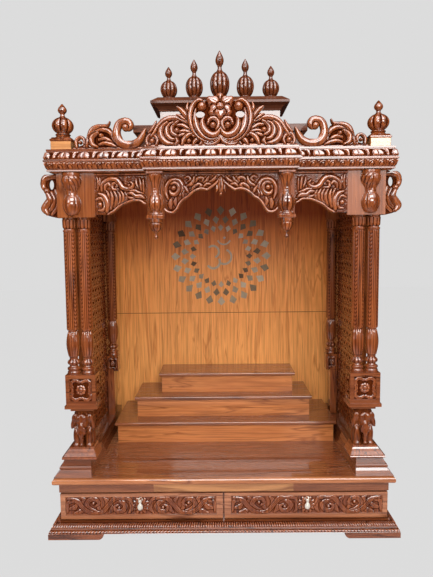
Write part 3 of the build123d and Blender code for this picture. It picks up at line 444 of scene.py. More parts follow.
class Shape:
    """Points, triangles and openness values that are gathered into one piece."""

    def __init__(self):
        self.points, self.faces, self.open, self.count = [], [], [], 0

    def add(self, points, faces, openness=0.5, flip=False):
        """More points and triangles; flip turns the triangles of a mirrored shape outward again."""
        points = np.asarray(points, float).reshape(-1, 3)
        faces = np.asarray(faces, int)
        self.points.append(points)
        self.faces.append((faces[:, ::-1] if flip else faces) + self.count)
        self.open.append(np.broadcast_to(np.ravel(openness), (len(points),)).astype(float))
        self.count += len(points)

    def face(self, relief, place, back=None, flip=False):
        """A relief on the surface that place(u, v, height) gives; with a back it is a closed piece."""
        openness = hollows(relief.height, relief.bed)
        columns = [relief.U, relief.V, relief.height, openness]
        points = np.column_stack([column.ravel() for column in columns])
        faces = grid_faces(*relief.U.shape)
        points, faces, rim = clip(points, relief.inside.ravel(), faces)
        used = np.unique(faces)
        renumber = np.zeros(len(points), int)
        renumber[used] = np.arange(len(used))
        points, faces, rim = points[used], renumber[faces], renumber[rim]
        self.add(np.column_stack(place(*points[:, :3].T)), faces, points[:, 3], flip)
        if back is None:
            return
        behind = points[:, :3].copy()
        behind[:, 2] = back
        self.add(np.column_stack(place(*behind.T)), faces[:, ::-1], 0.5, flip)
        if len(rim):
            first, second = rim[:, 0], rim[:, 1]
            wall = np.vstack([points[second, :3], points[first, :3], behind[first], behind[second]])
            size = len(rim)
            a = np.arange(size)
            quads = np.vstack([
                np.column_stack([a, a + size, a + 2 * size]),
                np.column_stack([a, a + 2 * size, a + 3 * size]),
            ])
            # The cut walls get a low openness, which paints shade on them
            self.add(np.column_stack(place(*wall.T)), quads, 0.3, flip)

    def turning(self, centre, bottom, outline, sides, carve=None, step=2.0, arc=(0, 1)):
        """A turned member through (radius, height) points, whose radius carve(height, angle) alters."""
        given = np.array(outline, float)
        walked = np.concatenate([[0], np.hypot(*np.diff(given, axis=0).T).cumsum()])
        marks = np.unique(np.concatenate([walked, np.arange(0, walked[-1], step)]))
        radius, height = np.interp(marks, walked, given[:, 0]), np.interp(marks, walked, given[:, 1])
        whole = arc == (0, 1)
        turns = np.linspace(*arc, sides, endpoint=not whole) * 2 * pi
        angle, level = np.meshgrid(turns, height)
        offset = carve(level, angle) if carve else np.zeros(level.shape)
        offset = np.where(radius[:, None] > 1, offset, 0)
        reach = np.maximum(radius[:, None] + offset, 0.02)
        x, y = centre[0] + reach * np.cos(angle), centre[1] + reach * np.sin(angle)
        points = np.column_stack([x.ravel(), y.ravel(), (bottom + level).ravel()])
        # Openness from the carved offset drives the painted shade in the grooves
        openness = np.clip(0.5 + (offset - blurred(offset)) / 1.3, 0, 1)
        self.add(points, grid_faces(*level.shape, closed=whole), openness.ravel())

    def block(self, low, high, bevel=1.0):
        """A board with narrow bevels along its edges, each triangle with points of its own."""
        low, high = np.array(low, float), np.array(high, float)
        corner = np.array(list(np.ndindex(2, 2, 2)))
        inset = np.repeat((1 - 2 * corner) * bevel, 3, axis=0)
        inset[np.arange(24), np.arange(24) % 3] = 0
        points = np.repeat(low + corner * (high - low), 3, axis=0) + inset
        # Point 3 * corner + axis lies on the side across that axis
        quads = []
        for axis in range(3):
            first, second = [other for other in range(3) if other != axis]
            step, one, two = 4 >> axis, 4 >> first, 4 >> second
            for at in (0, one, one + two, two):
                start, end = 3 * at, 3 * (at + step)
                quads.append((start + first, end + first, end + second, start + second))
            for value in (0, step):
                quads.append([3 * (value + at) + axis for at in (0, one, one + two, two)])
        faces = [(quad[0], quad[turn], quad[turn + 1]) for quad in quads for turn in (1, 2)]
        faces += [(3 * number, 3 * number + 1, 3 * number + 2) for number in range(8)]
        triangles = points[np.array(faces)]
        normal = np.cross(triangles[:, 1] - triangles[:, 0], triangles[:, 2] - triangles[:, 0])
        inward = ((triangles.mean(axis=1) - (low + high) / 2) * normal).sum(axis=1) < 0
        triangles[inward] = triangles[inward][:, ::-1]
        self.add(triangles, np.arange(3 * len(faces)).reshape(-1, 3), 0.6)

    def slab(self, centre, half, low, high, bevel=1.0):
        """A board round an upright axis, given its half width and half depth and its heights."""
        self.block((*np.subtract(centre, half), low), (*np.add(centre, half), high), bevel)

    def made(self, name, replaces=(), material=carved_teak, body="mandir", slot="carved_teak", smooth=True):
        """The finished piece, riding on its body and standing in for its nodes."""
        points = np.vstack(self.points) * MM
        faces = np.vstack(self.faces)
        mesh = bpy.data.meshes.new(name)
        mesh.vertices.add(len(points))
        mesh.vertices.foreach_set("co", points.ravel())
        mesh.loops.add(faces.size)
        mesh.loops.foreach_set("vertex_index", faces.ravel().astype(np.int32))
        mesh.polygons.add(len(faces))
        mesh.polygons.foreach_set("loop_start", np.arange(0, faces.size, 3, dtype=np.int32))
        mesh.polygons.foreach_set("use_smooth", np.full(len(faces), smooth))
        mesh.update(calc_edges=True)
        mesh.attributes.new("cavity", "FLOAT", "POINT").data.foreach_set("value", np.concatenate(self.open))
        mesh.materials.append(material)
        made = bpy.data.objects.new(name, mesh)
        scene.collection.objects.link(made)
        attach(made, body)
        if replaces:
            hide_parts(*replaces)


def front_face(face_y, base_z, side=1):
    """Places a relief on an upright plane that looks to the front, mirrored for side -1."""
    return lambda u, v, h: (side * u, face_y - h, base_z + v)


def corners(name):
    """A node's lowest and highest corner in millimetres."""
    return [np.array(corner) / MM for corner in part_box(name)]


def plate(name, relief, carved_node, depth, base, back, sides=(1,)):
    """A pierced, carved board whose ground lies at a depth behind the front of the node it stands for."""
    face_y = corners(carved_node)[0][1] + depth
    shape = Shape()
    for side in sides:
        shape.face(relief, front_face(face_y, base, side), back, side < 0)
    shape.made(name, [carved_node])


# The triangles and the edges of a face with four corners
QUAD = [(0, 1, 2), (0, 2, 3)]
QUAD_EDGES = [(0, 1), (1, 2), (2, 3), (3, 0)]

ROOF_TOP = corners("roof_board")[1][2]
SHRINE_TOP = corners("back_panel_upper")[1][2]
PILLAR_TOP = corners("front_pillars")[1][2]
BLOCK_TOP = corners("pillar_blocks")[1][2]
DECK_TOP = corners("deck")[1][2]
# The plane of the drawers, the back of the case and half its width
FRONT = corners("left_drawer_front")[0][1]
REAR = corners("deck")[1][1]
CASE_HALF = corners("cabinet_sides")[1][0]


# Crest over the middle: a flower and two eyes between great scrolls that end in leaves and volutes
crest = Relief(-218, 218, 0, 145, 1.7, mirrored=True, pierced=True, full=1.3)
crest.patch([(0, 0), (212, 0), (206, 14), (190, 34), (172, 60), (150, 74), (120, 76), (98, 64), (84, 44),
             (60, 22), (30, 18), (0, 26)], 3)
crest.patch([(0, 26), (30, 16), (60, 24), (84, 50), (88, 84), (78, 112), (60, 126), (0, 130)], 3)
crest.carve(
    ([(0, 3), (70, 3), (140, 3), (214, 3)], [4, 4, 4, 4], 8),
    ([(204, 8), (196, 23), (181, 39), (172, 52)], [4.5, 5, 4, 2], 9),
    ([(203, 40), (190, 56), (182, 73)], [3, 4.5, 1.5], 9),
    ([(183, 5), (179, 20), (188, 32), (203, 32), (210, 18), (207, 5)], [3, 4, 4, 4, 4, 3], 11),
    ((195, 17), 7.5, 14),
    ([(122, 61), (107, 60), (93, 51), (82, 40)], [2.5, 4.5, 5, 2.5], 11),
    ([(119, 43), (101, 44), (87, 39), (75, 29)], [2.5, 4.5, 4.5, 2], 11),
    ([(122, 30), (104, 35), (90, 32)], [2.5, 4.5, 2.5], 10),
    ([(84, 61), (98, 71), (116, 79), (137, 81), (157, 76), (173, 63), (185, 45), (197, 29)],
     [3, 4.5, 5.5, 6, 6, 5.5, 4.5, 2.5], 12),
    ([(119, 71), (132, 64), (139, 52), (137, 39), (125, 32)], [2.5, 4.5, 5, 5, 3], 13),
    ([(134, 68), (147, 61), (153, 48), (151, 33), (141, 23), (131, 21)], [2.5, 4.5, 6, 6.5, 5.5, 3], 14),
    ([(151, 68), (163, 58), (170, 43), (168, 29), (160, 17), (148, 10), (134, 8)],
     [3, 5.5, 7, 7.5, 7.5, 6, 3], 16),
    ((124, 46), 7.5, 15),
    ([(129, 5), (123, 15), (126, 24)], [2.5, 5, 2.5], 12),
    ([(110, 5), (104, 21), (93, 32), (78, 37)], [2.5, 5.5, 5, 2], 13),
    ((90, 17), 6, 12),
    ([(78, 5), (71, 17), (57, 26)], [2.5, 5.5, 2.5], 12),
    ([(60, 5), (50, 15), (37, 18)], [2.5, 4.5, 2.5], 11),
    ([(0, 33), (6, 21), (19, 12), (37, 9), (49, 15)], [3, 6, 7.5, 6.5, 2.5], 12, "leaf"),
    ([(101, 76), (115, 86), (123, 89)], [3, 5, 2.5], 11),
    ([(87, 91), (94, 108), (91, 122)], [3.5, 4.5, 1.5], 10),
    ([(93, 80), (103, 94), (113, 104), (122, 110)], [3.5, 6, 5.5, 2], 15),
    ([(46, 122), (60, 129), (75, 119), (84, 99), (86, 76), (79, 52), (66, 33), (47, 20), (25, 17)],
     [4, 4.5, 5.5, 5.5, 6, 6, 6, 5.5, 3.5], 14),
    ([(69, 105), (72, 88), (70, 67), (63, 48), (49, 32), (28, 23), (11, 26)],
     [2, 5, 7.5, 8.5, 8, 7, 3], 12),
    ([(47, 80), (51, 71), (49, 55), (38, 39), (22, 32), (8, 38), (1, 52)],
     [2.5, 6, 8, 8.5, 7.5, 6, 3], 16),
    ([(35, 64), (30, 76), (18, 79), (7, 72), (5, 59), (11, 48)], [3, 4.5, 5, 5, 4.5, 3], 14),
    ((21, 60), 8.5, 17),
    ((52, 112), 12, 18),
)
for turn, reach in ((90, 31), (32, 36), (-36, 30), (-90, 28)):
    petal_way = np.array([cos(radians(turn)), sin(radians(turn))])
    petal = [np.array([0, 112]) + away * petal_way for away in (8, 0.55 * reach, 0.8 * reach, reach)]
    crest.stroke(petal, [8, 15, 14, 7], 15)
crest.boss((0, 112), 12, 18)
heart = np.hypot(crest.U, crest.V - 112) < 11
hatch = np.maximum(np.abs(np.sin((crest.U + crest.V) * 0.75)), np.abs(np.sin((crest.U - crest.V) * 0.75)))
crest.height -= np.where(heart, 4 * hatch, 0)
crest.hole((57, 90), 13, 0.7)
crest.hole((106, 52), 4, 0.6)
plate("crest_carving", crest, "crest_centre", 14.5, ROOF_TOP, -4.5)

# Wings beside it: a C-scroll, an acanthus with an eye and a small volute at the corner block
wing = Relief(208, 431, 0, 92, 1.7, pierced=True, full=1.25)
wing.patch([(428, 0), (422, 7), (396, 16), (384, 36), (374, 55), (357, 66), (336, 68), (319, 62), (305, 38),
            (294, 0)], 3)
wing.carve(
    ([(214, 3), (290, 3), (360, 3), (427, 3)], [3.5, 3.5, 3.5, 3.5], 6),
    ([(418, 8), (419, 26), (408, 36), (397, 30), (396, 14)], [3.5, 4.5, 4, 4, 3], 10),
    ((408, 21), 5.5, 12),
    ([(396, 9), (384, 13), (374, 7)], [3, 4.5, 2.5], 9),
    ([(389, 8), (382, 33), (373, 54), (357, 64), (338, 66), (326, 69), (320, 79)],
     [3, 5.5, 6.5, 7, 6, 4.5, 1.5], 13),
    ([(360, 52), (342, 57), (325, 52), (312, 39), (307, 22)], [2.5, 5, 5.5, 5.5, 2.5], 12),
    ([(354, 48), (367, 41), (375, 29), (371, 14), (358, 8)], [2.5, 5.5, 6.5, 6, 3], 15),
    ([(353, 28), (337, 32), (322, 25), (312, 14)], [2.5, 4.5, 4.5, 2], 12),
    ([(352, 14), (338, 18), (320, 15), (303, 8)], [2.5, 5, 5.5, 2.5], 13),
    ((346, 40), 6.5, 15),
    ([(276, 60), (265, 60), (260, 69), (266, 78), (278, 80), (292, 74), (300, 58), (301, 40), (292, 22),
      (274, 13), (253, 14), (236, 24), (226, 38), (217, 56)],
     [5, 7, 8, 8.5, 9, 9, 10, 10.5, 10.5, 10, 9.5, 8.5, 7, 3], 14),
    ((275, 62), 10.5, 17),
)
wing.hole((272, 37), 14, 1)
plate("wing_carving", wing, "crest_wings", 11, ROOF_TOP, -5, (-1, 1))

# Scalloped arch: a round volute in each corner and small scrolls along a raised rim
arch_edge = np.vstack([
    curve([(165, -108), (157, -115), (146, -118), (136, -115), (128, -106)]),
    curve([(128, -106), (123, -96), (116, -86), (107, -78), (97, -73)]),
    curve([(97, -73), (86, -62), (74, -54), (62, -50), (52, -50), (40, -53)]),
    curve([(40, -53), (28, -45), (17, -37), (7, -28), (0, -18)]),
])
arch = Relief(-165, 165, -122, 0, 1.6, mirrored=True, pierced=True, full=1.25)
arch.patch(np.vstack([arch_edge, [(-9, -18), (-9, 9), (175, 9), (175, -108)]]), 3, 2)
arch.carve(
    ([(0, -3), (80, -3), (165, -3)], [2.4, 2.4, 2.4], 6),
    ([(154, -79), (160, -61), (159, -44), (150, -29), (136, -23), (121, -26), (113, -39), (112, -55),
      (119, -69)],
     [2.5, 4.5, 4.5, 4.5, 4.5, 5, 6, 6, 3], 9),
    ([(144, -35), (136, -32), (127, -35), (122, -44), (124, -57), (133, -65), (144, -64), (149, -56)],
     [2.5, 3.5, 4.5, 5, 5, 5.5, 4.5, 2.5], 11),
    ((137, -47), 7, 9),
    ([(146, -82), (148, -93), (147, -105)], [3.5, 6, 3], 10),
    ([(131, -76), (134, -87), (132, -98)], [2, 4.5, 2.5], 7),
    ([(106, -43), (100, -52), (95, -61)], [2.5, 4.5, 2.5], 9),
    ([(107, -56), (111, -66), (110, -75)], [2, 4, 2], 7),
    ([(77, -16), (80, -28), (88, -37), (98, -41)], [2.5, 4.5, 5, 2.5], 10),
    ([(106, -19), (95, -15), (88, -23), (96, -29)], [2, 3.5, 3.5, 2], 7),
    ([(72, -32), (69, -22), (60, -18), (51, -21), (54, -29)], [2, 4, 4.5, 4, 2], 9),
    ([(84, -52), (78, -44), (65, -36), (57, -41), (62, -45)], [2, 3.5, 4, 3.5, 2], 8),
    ([(50, -33), (41, -26), (35, -16)], [2, 4, 2.5], 8),
    ([(50, -44), (41, -36), (30, -37)], [2, 4, 2], 8),
    ([(33, -30), (22, -24), (14, -14)], [2, 4, 2], 8),
    ((45, -16), 3, 7),
    ((24, -14), 3, 7),
)
arch.stroke(arch_edge, [3.4, 3.4], 8, "round", smooth=False)
arch.carve(
    ([(3, -32), (9, -46), (13, -59)], [2.5, 5, 1.5], 8),
    ([(0, -20), (0, -44), (0, -66)], [3.5, 8, 2.5], 10, "leaf"),
    ((0, -66), 4.5, 9),
)
arch.stipple(3.2, 0.5)
arch.bed = 1.8
plate("arch_carving", arch, "arch_panel", 10, SHRINE_TOP, -12)

# Spandrels: an S-scroll over a fan of long leaves, with a volute in the outer corner
spandrel_edge = np.vstack([
    curve([(334, -121), (316, -110), (302, -98), (287, -90), (263, -81), (246, -80)]),
    curve([(246, -80), (236, -82), (228, -88), (222, -91)]),
])
spandrel = Relief(216, 372, -121, 0, 1.6, pierced=True, full=1.2)
spandrel.patch(np.vstack([spandrel_edge, [(206, -77), (206, 9), (382, 9), (382, -131), (334, -131)]]), 3, 2)
spandrel.carve(
    ([(216, -4), (294, -4), (372, -4)], [2.4, 2.4, 2.4], 6),
    ([(249, -18), (248, -32), (243, -45)], [2, 3.5, 2], 6),
    ([(238, -18), (236, -34), (235, -50)], [2, 3.5, 2], 6),
    ([(228, -20), (227, -42), (227, -56)], [2, 3, 1.5], 6),
    ([(364, -11), (361, -30), (364, -50)], [2, 3.5, 2], 6),
    ([(356, -14), (355, -27), (357, -40)], [1.5, 2.5, 1.5], 5),
    ([(336, -52), (331, -62), (329, -76)], [2, 3.5, 2], 8),
    ([(282, -56), (278, -66), (279, -75), (284, -84)], [2, 4, 4, 2], 8),
    ([(293, -54), (287, -66), (288, -80), (295, -90)], [2, 4, 4, 2], 9),
    ([(304, -53), (297, -67), (298, -83), (305, -95)], [2, 4, 4.5, 2.5], 8),
    ([(324, -54), (320, -70), (322, -87), (326, -104)], [2, 4, 4.5, 3], 8),
    ([(315, -52), (308, -67), (308, -84), (315, -100)], [2, 4.5, 5, 2.5], 9.5),
    ([(302, -48), (317, -47), (319, -34), (309, -29), (303, -37), (309, -41)],
     [2.5, 3.5, 3.5, 3.5, 3, 2], 8),
    ([(341, -49), (340, -38), (332, -31), (325, -37)], [3, 4.5, 5.5, 3.5], 9),
    ([(351, -51), (349, -33), (337, -22), (322, -17), (307, -20), (297, -31), (289, -42), (276, -47),
      (262, -43), (258, -34), (264, -27)],
     [3, 4, 5, 5, 5.5, 6.5, 6.5, 6, 5, 4, 2.5], 9.5),
    ((270, -36), 4, 8),
    ([(368, -78), (357, -73), (347, -79), (342, -93), (348, -107), (361, -109)],
     [2.5, 4, 4, 4, 4, 2.5], 8),
    ((357, -92), 7, 8),
    ([(360, -60), (347, -65), (337, -78), (334, -96), (337, -112)], [3, 6, 7, 6.5, 4], 10.5),
    ([(273, -71), (259, -75), (244, -75)], [2.5, 4, 2], 8),
    ([(267, -52), (252, -53), (241, -58), (229, -61)], [2.5, 4.5, 4, 2], 8),
    ([(273, -59), (261, -60), (250, -68), (236, -68), (225, -75)], [2.5, 5, 5.5, 5.5, 2.5], 10),
)
spandrel.stroke(spandrel_edge, [3, 3], 7, "round", smooth=False)
spandrel.stipple(3.2, 0.5, 2)
spandrel.bed = 1.8
plate("spandrel_carving", spandrel, "spandrels", 7, SHRINE_TOP, -14, (-1, 1))

# Drawer fronts: a running scroll on both sides of a shell, in the sunk panels
PANEL_SUNK = 4
PANEL_LEFT, PANEL_RIGHT = 22.5, 492
PANEL_LOW, PANEL_HIGH = 52, 111.5
panel_middle = (PANEL_LEFT + PANEL_RIGHT) / 2
panel_half = (PANEL_RIGHT - PANEL_LEFT) / 2
drawer = Relief(-panel_half, panel_half, 0, PANEL_HIGH - PANEL_LOW, 1.5, ground=0.4, mirrored=True, full=1.6)
for stem, widths in (
    ([(36, 48), (28, 24), (38, 6)], [2, 5, 2]),
    ([(96, 36), (90, 20), (100, 6)], [2, 5, 2]),
    ([(110, 26), (104, 42), (114, 55)], [2, 5, 2]),
    ([(176, 20), (190, 10), (208, 6)], [2, 5.5, 2]),
    ([(186, 34), (176, 48), (184, 56)], [2, 5, 2]),
    ([(196, 38), (208, 24), (226, 20)], [2, 5.5, 2]),
    ([(120, 8), (132, 24), (128, 40)], [2, 4, 2]),
    ([(86, 52), (66, 45), (49, 30), (57, 14), (74, 11), (83, 24), (73, 31)], [3, 4, 5, 5, 4.5, 3.5, 2]),
    ([(132, 8), (152, 15), (169, 31), (160, 48), (141, 50), (131, 37), (142, 28)], [3, 4, 5, 5, 4.5, 3.5, 2]),
    ([(27, 34), (36, 50), (58, 55), (82, 52), (101, 32), (122, 9), (150, 5), (177, 20), (198, 44), (226, 53)],
     [2, 4, 5, 5, 4.5, 5, 5, 5, 5, 2.5]),
    ([(212, 44), (228, 38), (230, 10)], [3, 4, 2]),
):
    drawer.stroke(stem, widths, 4.2, "flute")
drawer.carve(((68, 23), 4.5, 5.5), ((148, 37), 4.5, 5.5))
for turn in range(-90, 91, 30):
    tip = np.array([cos(radians(turn)), sin(radians(turn))])
    drawer.stroke([np.array([0, 28]) + 6 * tip, np.array([0, 29]) + 15 * tip, np.array([0, 29]) + 24 * tip],
                  [2.5, 4, 2.5], 3.4)
drawer.boss((0, 28), 9, 3)
drawer.bed = -1
drawer.sunk_rim()

# Brass drops: a flattened pear on a neck
PEAR = [(0, 0), (4, 1), (7.2, 4.5), (8.4, 9.5), (7.4, 15), (4.6, 20), (3.2, 23), (4.4, 26), (4.6, 29),
        (3, 32), (0, 33)]
PEAR_FLATNESS = 0.62
on_panel = front_face(FRONT + PANEL_SUNK, PANEL_LOW)
for side, name in ((-1, "left"), (1, "right")):
    carving = Shape()
    carving.face(drawer, lambda u, v, h: on_panel(side * panel_middle + u, v, h))
    carving.made(f"{name}_drawer_carving", body=f"{name}_drawer")
    drop_low, drop_high = corners(f"{name}_pull_drop")
    pull = Shape()
    pull.turning((0, 0), 0, curve(PEAR, 4), 40, step=0.8)
    pull.points[0][:, 1] *= PEAR_FLATNESS
    pull.points[0] += [(drop_low[0] + drop_high[0]) / 2, (drop_low[1] + drop_high[1]) / 2 - 0.4, drop_low[2]]
    pull.made(f"{name}_pull_pear", [f"{name}_pull_drop"], brass, f"{name}_pull", "pull_brass")


# Turned members: gadrooned finials, fluted pillars
def finial(shape, x, y, bottom, height, radius, lobes=10):
    """A melon bulb with lobes on a foot, with a bead and a pointed tip."""
    low, high = 0.06, 0.57

    def lobed(level, angle):
        rise = level / height
        belly = np.sin(pi * np.clip((rise - low) / (high - low), 0, 1)) ** 0.6
        depth = np.where((rise > low) & (rise < high), belly, 0)
        return radius * depth * (0.05 - 0.17 * (1 - np.abs(np.sin(lobes * angle / 2)) ** 0.7))

    share = np.linspace(0, 1, 13)
    bulb = zip(np.sqrt(1 - ((share - 0.47) / 0.56) ** 2), low + (high - low) * share)
    outline = [(0, 0), (0.7, 0), (0.74, 0.02), (0.66, 0.045), *bulb, (0.23, 0.61), (0.2, 0.65), (0.25, 0.69),
               (0.36, 0.72), (0.43, 0.77), (0.43, 0.81), (0.37, 0.86), (0.25, 0.91), (0.1, 0.97), (0, 1)]
    shape.turning((x, y), bottom, np.array(outline) * (radius, height), 70, lobed, 2.2)


FINIAL_SPACING = 80
finials = Shape()
cap_top = corners("roof_cap")[1][2]
finial_y = sum(corner[1] for corner in corners("roof_finials")) / 2
for number, (height, radius) in enumerate(((149, 30.1), (123, 26.6), (101, 25.6))):
    for side in ((-1, 1) if number else (1,)):
        finial(finials, side * number * FINIAL_SPACING, finial_y, cap_top, height, radius)
finials.made("roof_finial_turnings", ["roof_finials"], looks["finial_teak"])


# Heights on a pillar of its lobed ball, its leafy bulge and the reeded shaft's foot
BALL_LOW, BALL_HIGH = 25, 45
BULGE_LOW, BULGE_HIGH = 53, 133
SHAFT_LOW = 139


def pillar(shape, x, y, bottom, radius=17.5):
    """A pillar with a ringed foot, a lobed ball, a leafy bulge, a reeded shaft and a beaded cap."""
    height = PILLAR_TOP - bottom

    def carved(level, angle):
        turn = angle / (2 * pi)
        sector = (turn * 4 + 0.62) % 1
        reed = np.abs(np.sin(pi * (sector - 0.34) / 0.66 * 3)) ** 0.6
        across = np.abs(sector - 0.17) / 0.17
        laurel = np.abs(np.sin(pi * (level / 12 - 0.5 * across))) ** 0.7 * (1 - 0.35 * across)
        shaft = np.where(sector < 0.34, 2.9 * laurel - 2, 2.6 * reed - 1.9)

        share = np.clip((level - BULGE_LOW) / (BULGE_HIGH - BULGE_LOW), 0, 1)
        leaf = -2.2 + 0 * level
        for shift, start in ((0.0, 0.0), (0.5, 0.2)):
            grown = np.clip((share - start) / (1 - start), 0, 1)
            wide = np.sqrt(np.clip(1 - grown**2.2, 0.001, 1))
            off = np.abs((turn * 6 + shift) % 1 - 0.5) * 2.1 / wide
            blade = (3.2 - 3 * start) * np.sqrt(np.clip(1 - off**2, 0, 1))
            blade *= 1 - 0.5 * np.exp(-((off / 0.14) ** 2))
            leaf = np.maximum(leaf, np.where(off < 1, blade - 1.6, -2.2))
        ball = -2.6 * (1 - np.abs(np.sin(4 * angle)) ** 0.7)
        rise = np.clip((level - (height - 33)) / 10, 0, 1)
        bead = np.abs((turn * 10) % 1 - 0.5) * 2
        bead = 3.2 * np.sqrt(np.clip(1 - (bead / 0.86) ** 2 - (1 - rise) ** 2, 0, 1)) - 2

        zones = ((SHAFT_LOW, height - 44, shaft), (BALL_LOW, BALL_HIGH, ball), (BULGE_LOW, BULGE_HIGH, leaf),
                 (height - 33, height - 6, bead))
        out = np.zeros(level.shape)
        for low, high, relief in zones:
            out = np.where((level > low) & (level < high), relief, out)
        return out

    share = np.linspace(0, 1, 9)
    ball = zip(7 * np.sin(pi * share) - 5, BALL_LOW + (BALL_HIGH - BALL_LOW) * share)
    bulge = zip(6 * np.sin(pi * share) - 4, BULGE_LOW + (BULGE_HIGH - BULGE_LOW) * share)
    # How far each ring stands out from the shaft, and its height
    rings = [(2.3, 0), (2.3, 6), (0, 8), (0, 11), (2.3, 13), (2.3, 18), (-4, 22), *ball, (-5, 49), *bulge,
             (0, 137), (0, height - 43), (1.6, height - 42), (1.6, height - 37), (-1, height - 35),
             (1.2, height - 30), (2, height - 8), (2.3, height - 6), (2.3, height)]
    outline = [(0, 0), *((radius + out, level) for out, level in rings), (0, height)]
    shape.turning((x, y), bottom, outline, 76, carved, 3)


# The visual pairs stand 3 mm further out than the CAD ones
PILLAR_PAIR = (415.5, 459.5)
pillar_y = sum(corner[1] for corner in corners("front_pillars")) / 2
pillars = Shape()
for x in PILLAR_PAIR:
    for side in (-1, 1):
        pillar(pillars, side * x, pillar_y, BLOCK_TOP)
pillars.made("pillar_turnings", ["front_pillars"])


# Carved bands along the mouldings
def band(shape, plan, profile, carve, step):
    """Carving along a moulding, whose corners plan(reach) gives, on a (reach, height) profile."""
    given = np.array(profile, float)
    walked = np.concatenate([[0], np.hypot(*np.diff(given, axis=0).T).cumsum()])
    rise = np.linspace(0, walked[-1], int(round(walked[-1] / step)) + 1)
    reach, level = np.interp(rise, walked, given[:, 0]), np.interp(rise, walked, given[:, 1])
    slope = np.column_stack([np.gradient(reach, rise), np.gradient(level, rise)])
    normal = np.column_stack([slope[:, 1], -slope[:, 0]]) / np.hypot(*slope.T)[:, None]
    flat = np.array(plan(0), float)
    grown = np.array(plan(1), float) - flat
    for number in range(len(flat) - 1):
        span = flat[number + 1] - flat[number] + (grown[number + 1] - grown[number]) * reach.mean()
        length = np.hypot(*span)
        share = np.linspace(0, 1, int(round(length / step)) + 1)
        walk, up = np.meshgrid((share - 0.5) * length, rise)
        height = carve(walk, up, length)
        height[[0, -1]] = -1
        out = (reach[:, None] + normal[:, :1] * height)[..., None]
        tall = level[:, None] + normal[:, 1:] * height
        first = flat[number] + grown[number] * out
        last = flat[number + 1] + grown[number + 1] * out
        place = first + share[None, :, None] * (last - first)
        shape.add(np.dstack([place, tall]), grid_faces(*height.shape), hollows(height, carve.bed))


def repeat(pattern, period, base):
    """A carve function that repeats a pattern, drawn from -period/2 to period/2, along a run."""
    def carve(walk, up, length):
        fitted = length / max(1, round(length / period))
        place = (walk / fitted) % 1 - 0.5
        return base + pattern.at(place * period, up)
    carve.bed = base
    return carve


CORNICE_HALF = CASE_HALF - 25.5
BREAK_HALF, BREAK_STEP = 201, 32


def cornice_plan(reach):
    """Corners of the cornice's outline, so far out from the case."""
    side, middle = CORNICE_HALF + reach, BREAK_HALF + reach
    near, far = FRONT - reach, FRONT - BREAK_STEP - reach
    return [(-side, REAR), (-side, near), (-middle, near), (-middle, far), (middle, far), (middle, near),
            (side, near), (side, REAR)]


def plinth_plan(reach):
    """Corners of the plinth's outline, which reaches further out in front than at the sides."""
    side, near = CASE_HALF + reach * 24 / 44, FRONT - reach
    return [(-side, REAR), (-side, near), (side, near), (side, REAR)]


eggs = Relief(-27, 27, 0, 26.2, 1.0, mirrored=True)
eggs.patch([(0, 3.5), (14, 3.5), (15, 9), (14, 15), (10, 20), (5, 22.4), (0, 23)], 3.5, 4)
eggs.stroke([(21, 23), (27, 24), (27, 24)], [2, 2.8, 2.8], 2.4)
eggs.stroke([(27, 21), (27, 13), (27, 6)], [4.6, 3.8, 2], 2.8)
leaves = Relief(-13.5, 13.5, 0, 22.2, 1.0, mirrored=True)
leaves.stroke([(13.5, 20), (13.5, 11), (13.5, 4)], [3, 2.6, 1], 2.2)
leaves.stroke([(9.6, 1), (9.6, 9), (6, 15.4), (0, 18)], [1.8, 1.8, 1.8, 1.8], 2)
leaves.boss((0, 7.5), 4.6, 2.4, stretch=1.5)
cornice = Shape()
egg_band = [(26.5, SHRINE_TOP + 35.4), (19.2, SHRINE_TOP + 59.6)]
leaf_band = [(19, SHRINE_TOP + 8.6), (25.6, SHRINE_TOP + 28.6)]
band(cornice, cornice_plan, egg_band, repeat(eggs, 54, 0.4), 1.8)
band(cornice, cornice_plan, leaf_band, repeat(leaves, 27, 0.2), 1.9)
cornice.made("cornice_carving")

reeds = Relief(-3.6, 3.6, 0, 26, 0.6)
reeds.stroke([(0, 3), (0, 9), (0, 18)], [2.7, 2.5, 1.4], 2, smooth=False)
scallops = Relief(-10, 10, 0, 13.2, 0.9, mirrored=True)
scallops.stroke([(0, 3), (5, 9), (10, 3)], [1.9, 2.1, 1.9], 1.7)
plinth = Shape()
reed_band = [(32, 27.6), (30.6, 31), (26, 34), (18, 35), (8, 35.3)]
scallop_band = [(44.2, 16.2), (40.6, 20.4), (33.2, 22.2)]
band(plinth, plinth_plan, reed_band, repeat(reeds, 7.2, 0.2), 1.5)
band(plinth, plinth_plan, scallop_band, repeat(scallops, 20, 0.2), 1.9)
plinth.made("plinth_carving")


def gadroons(lobes, depth, *zones):
    """A carve function that cuts rounded lobes in each (low, high) zone of a turning."""
    def carve(level, angle):
        out = np.zeros(level.shape)
        for low, high in zones:
            share = np.clip((level - low) / (high - low), 0, 1)
            lobe = 1 - np.abs(np.sin(lobes * angle / 2)) ** 0.7
            out = np.where((level > low) & (level < high), -depth * np.sin(pi * share) ** 0.5 * lobe, out)
        return out
    return carve


# Pendants: a square block behind a lobed vase, and a lobed drop below it
PENDANT_X, VASE_Y = 190.5, FRONT - 21
VASE_LOW, DROP_LOW = 975, 906
swell = np.linspace(0, 1, 11)
vase_outline = [(0, 0), (20, 0), (21, 2), (20, 5), (15, 8)]
vase_outline += list(zip(15.5 - swell + 9.6 * np.sin(pi * swell) ** 0.8, 10 + 50 * swell))
vase_outline += [(12.5, 63), (13, 66), (12, 70), (12.5, 78), (16, 96), (21, 110), (22, 116), (19, 119),
                 (22, 121), (22, 124)]
drop_outline = [(0, 0), (3, 1), (5.6, 4), (6, 7), (4.6, 10), (2.6, 12), (2.8, 16), (5, 19), (10, 22),
                (15, 27), (18, 33), (19.6, 40), (19.6, 45), (17, 47), (20, 49), (20, 59), (0, 59)]
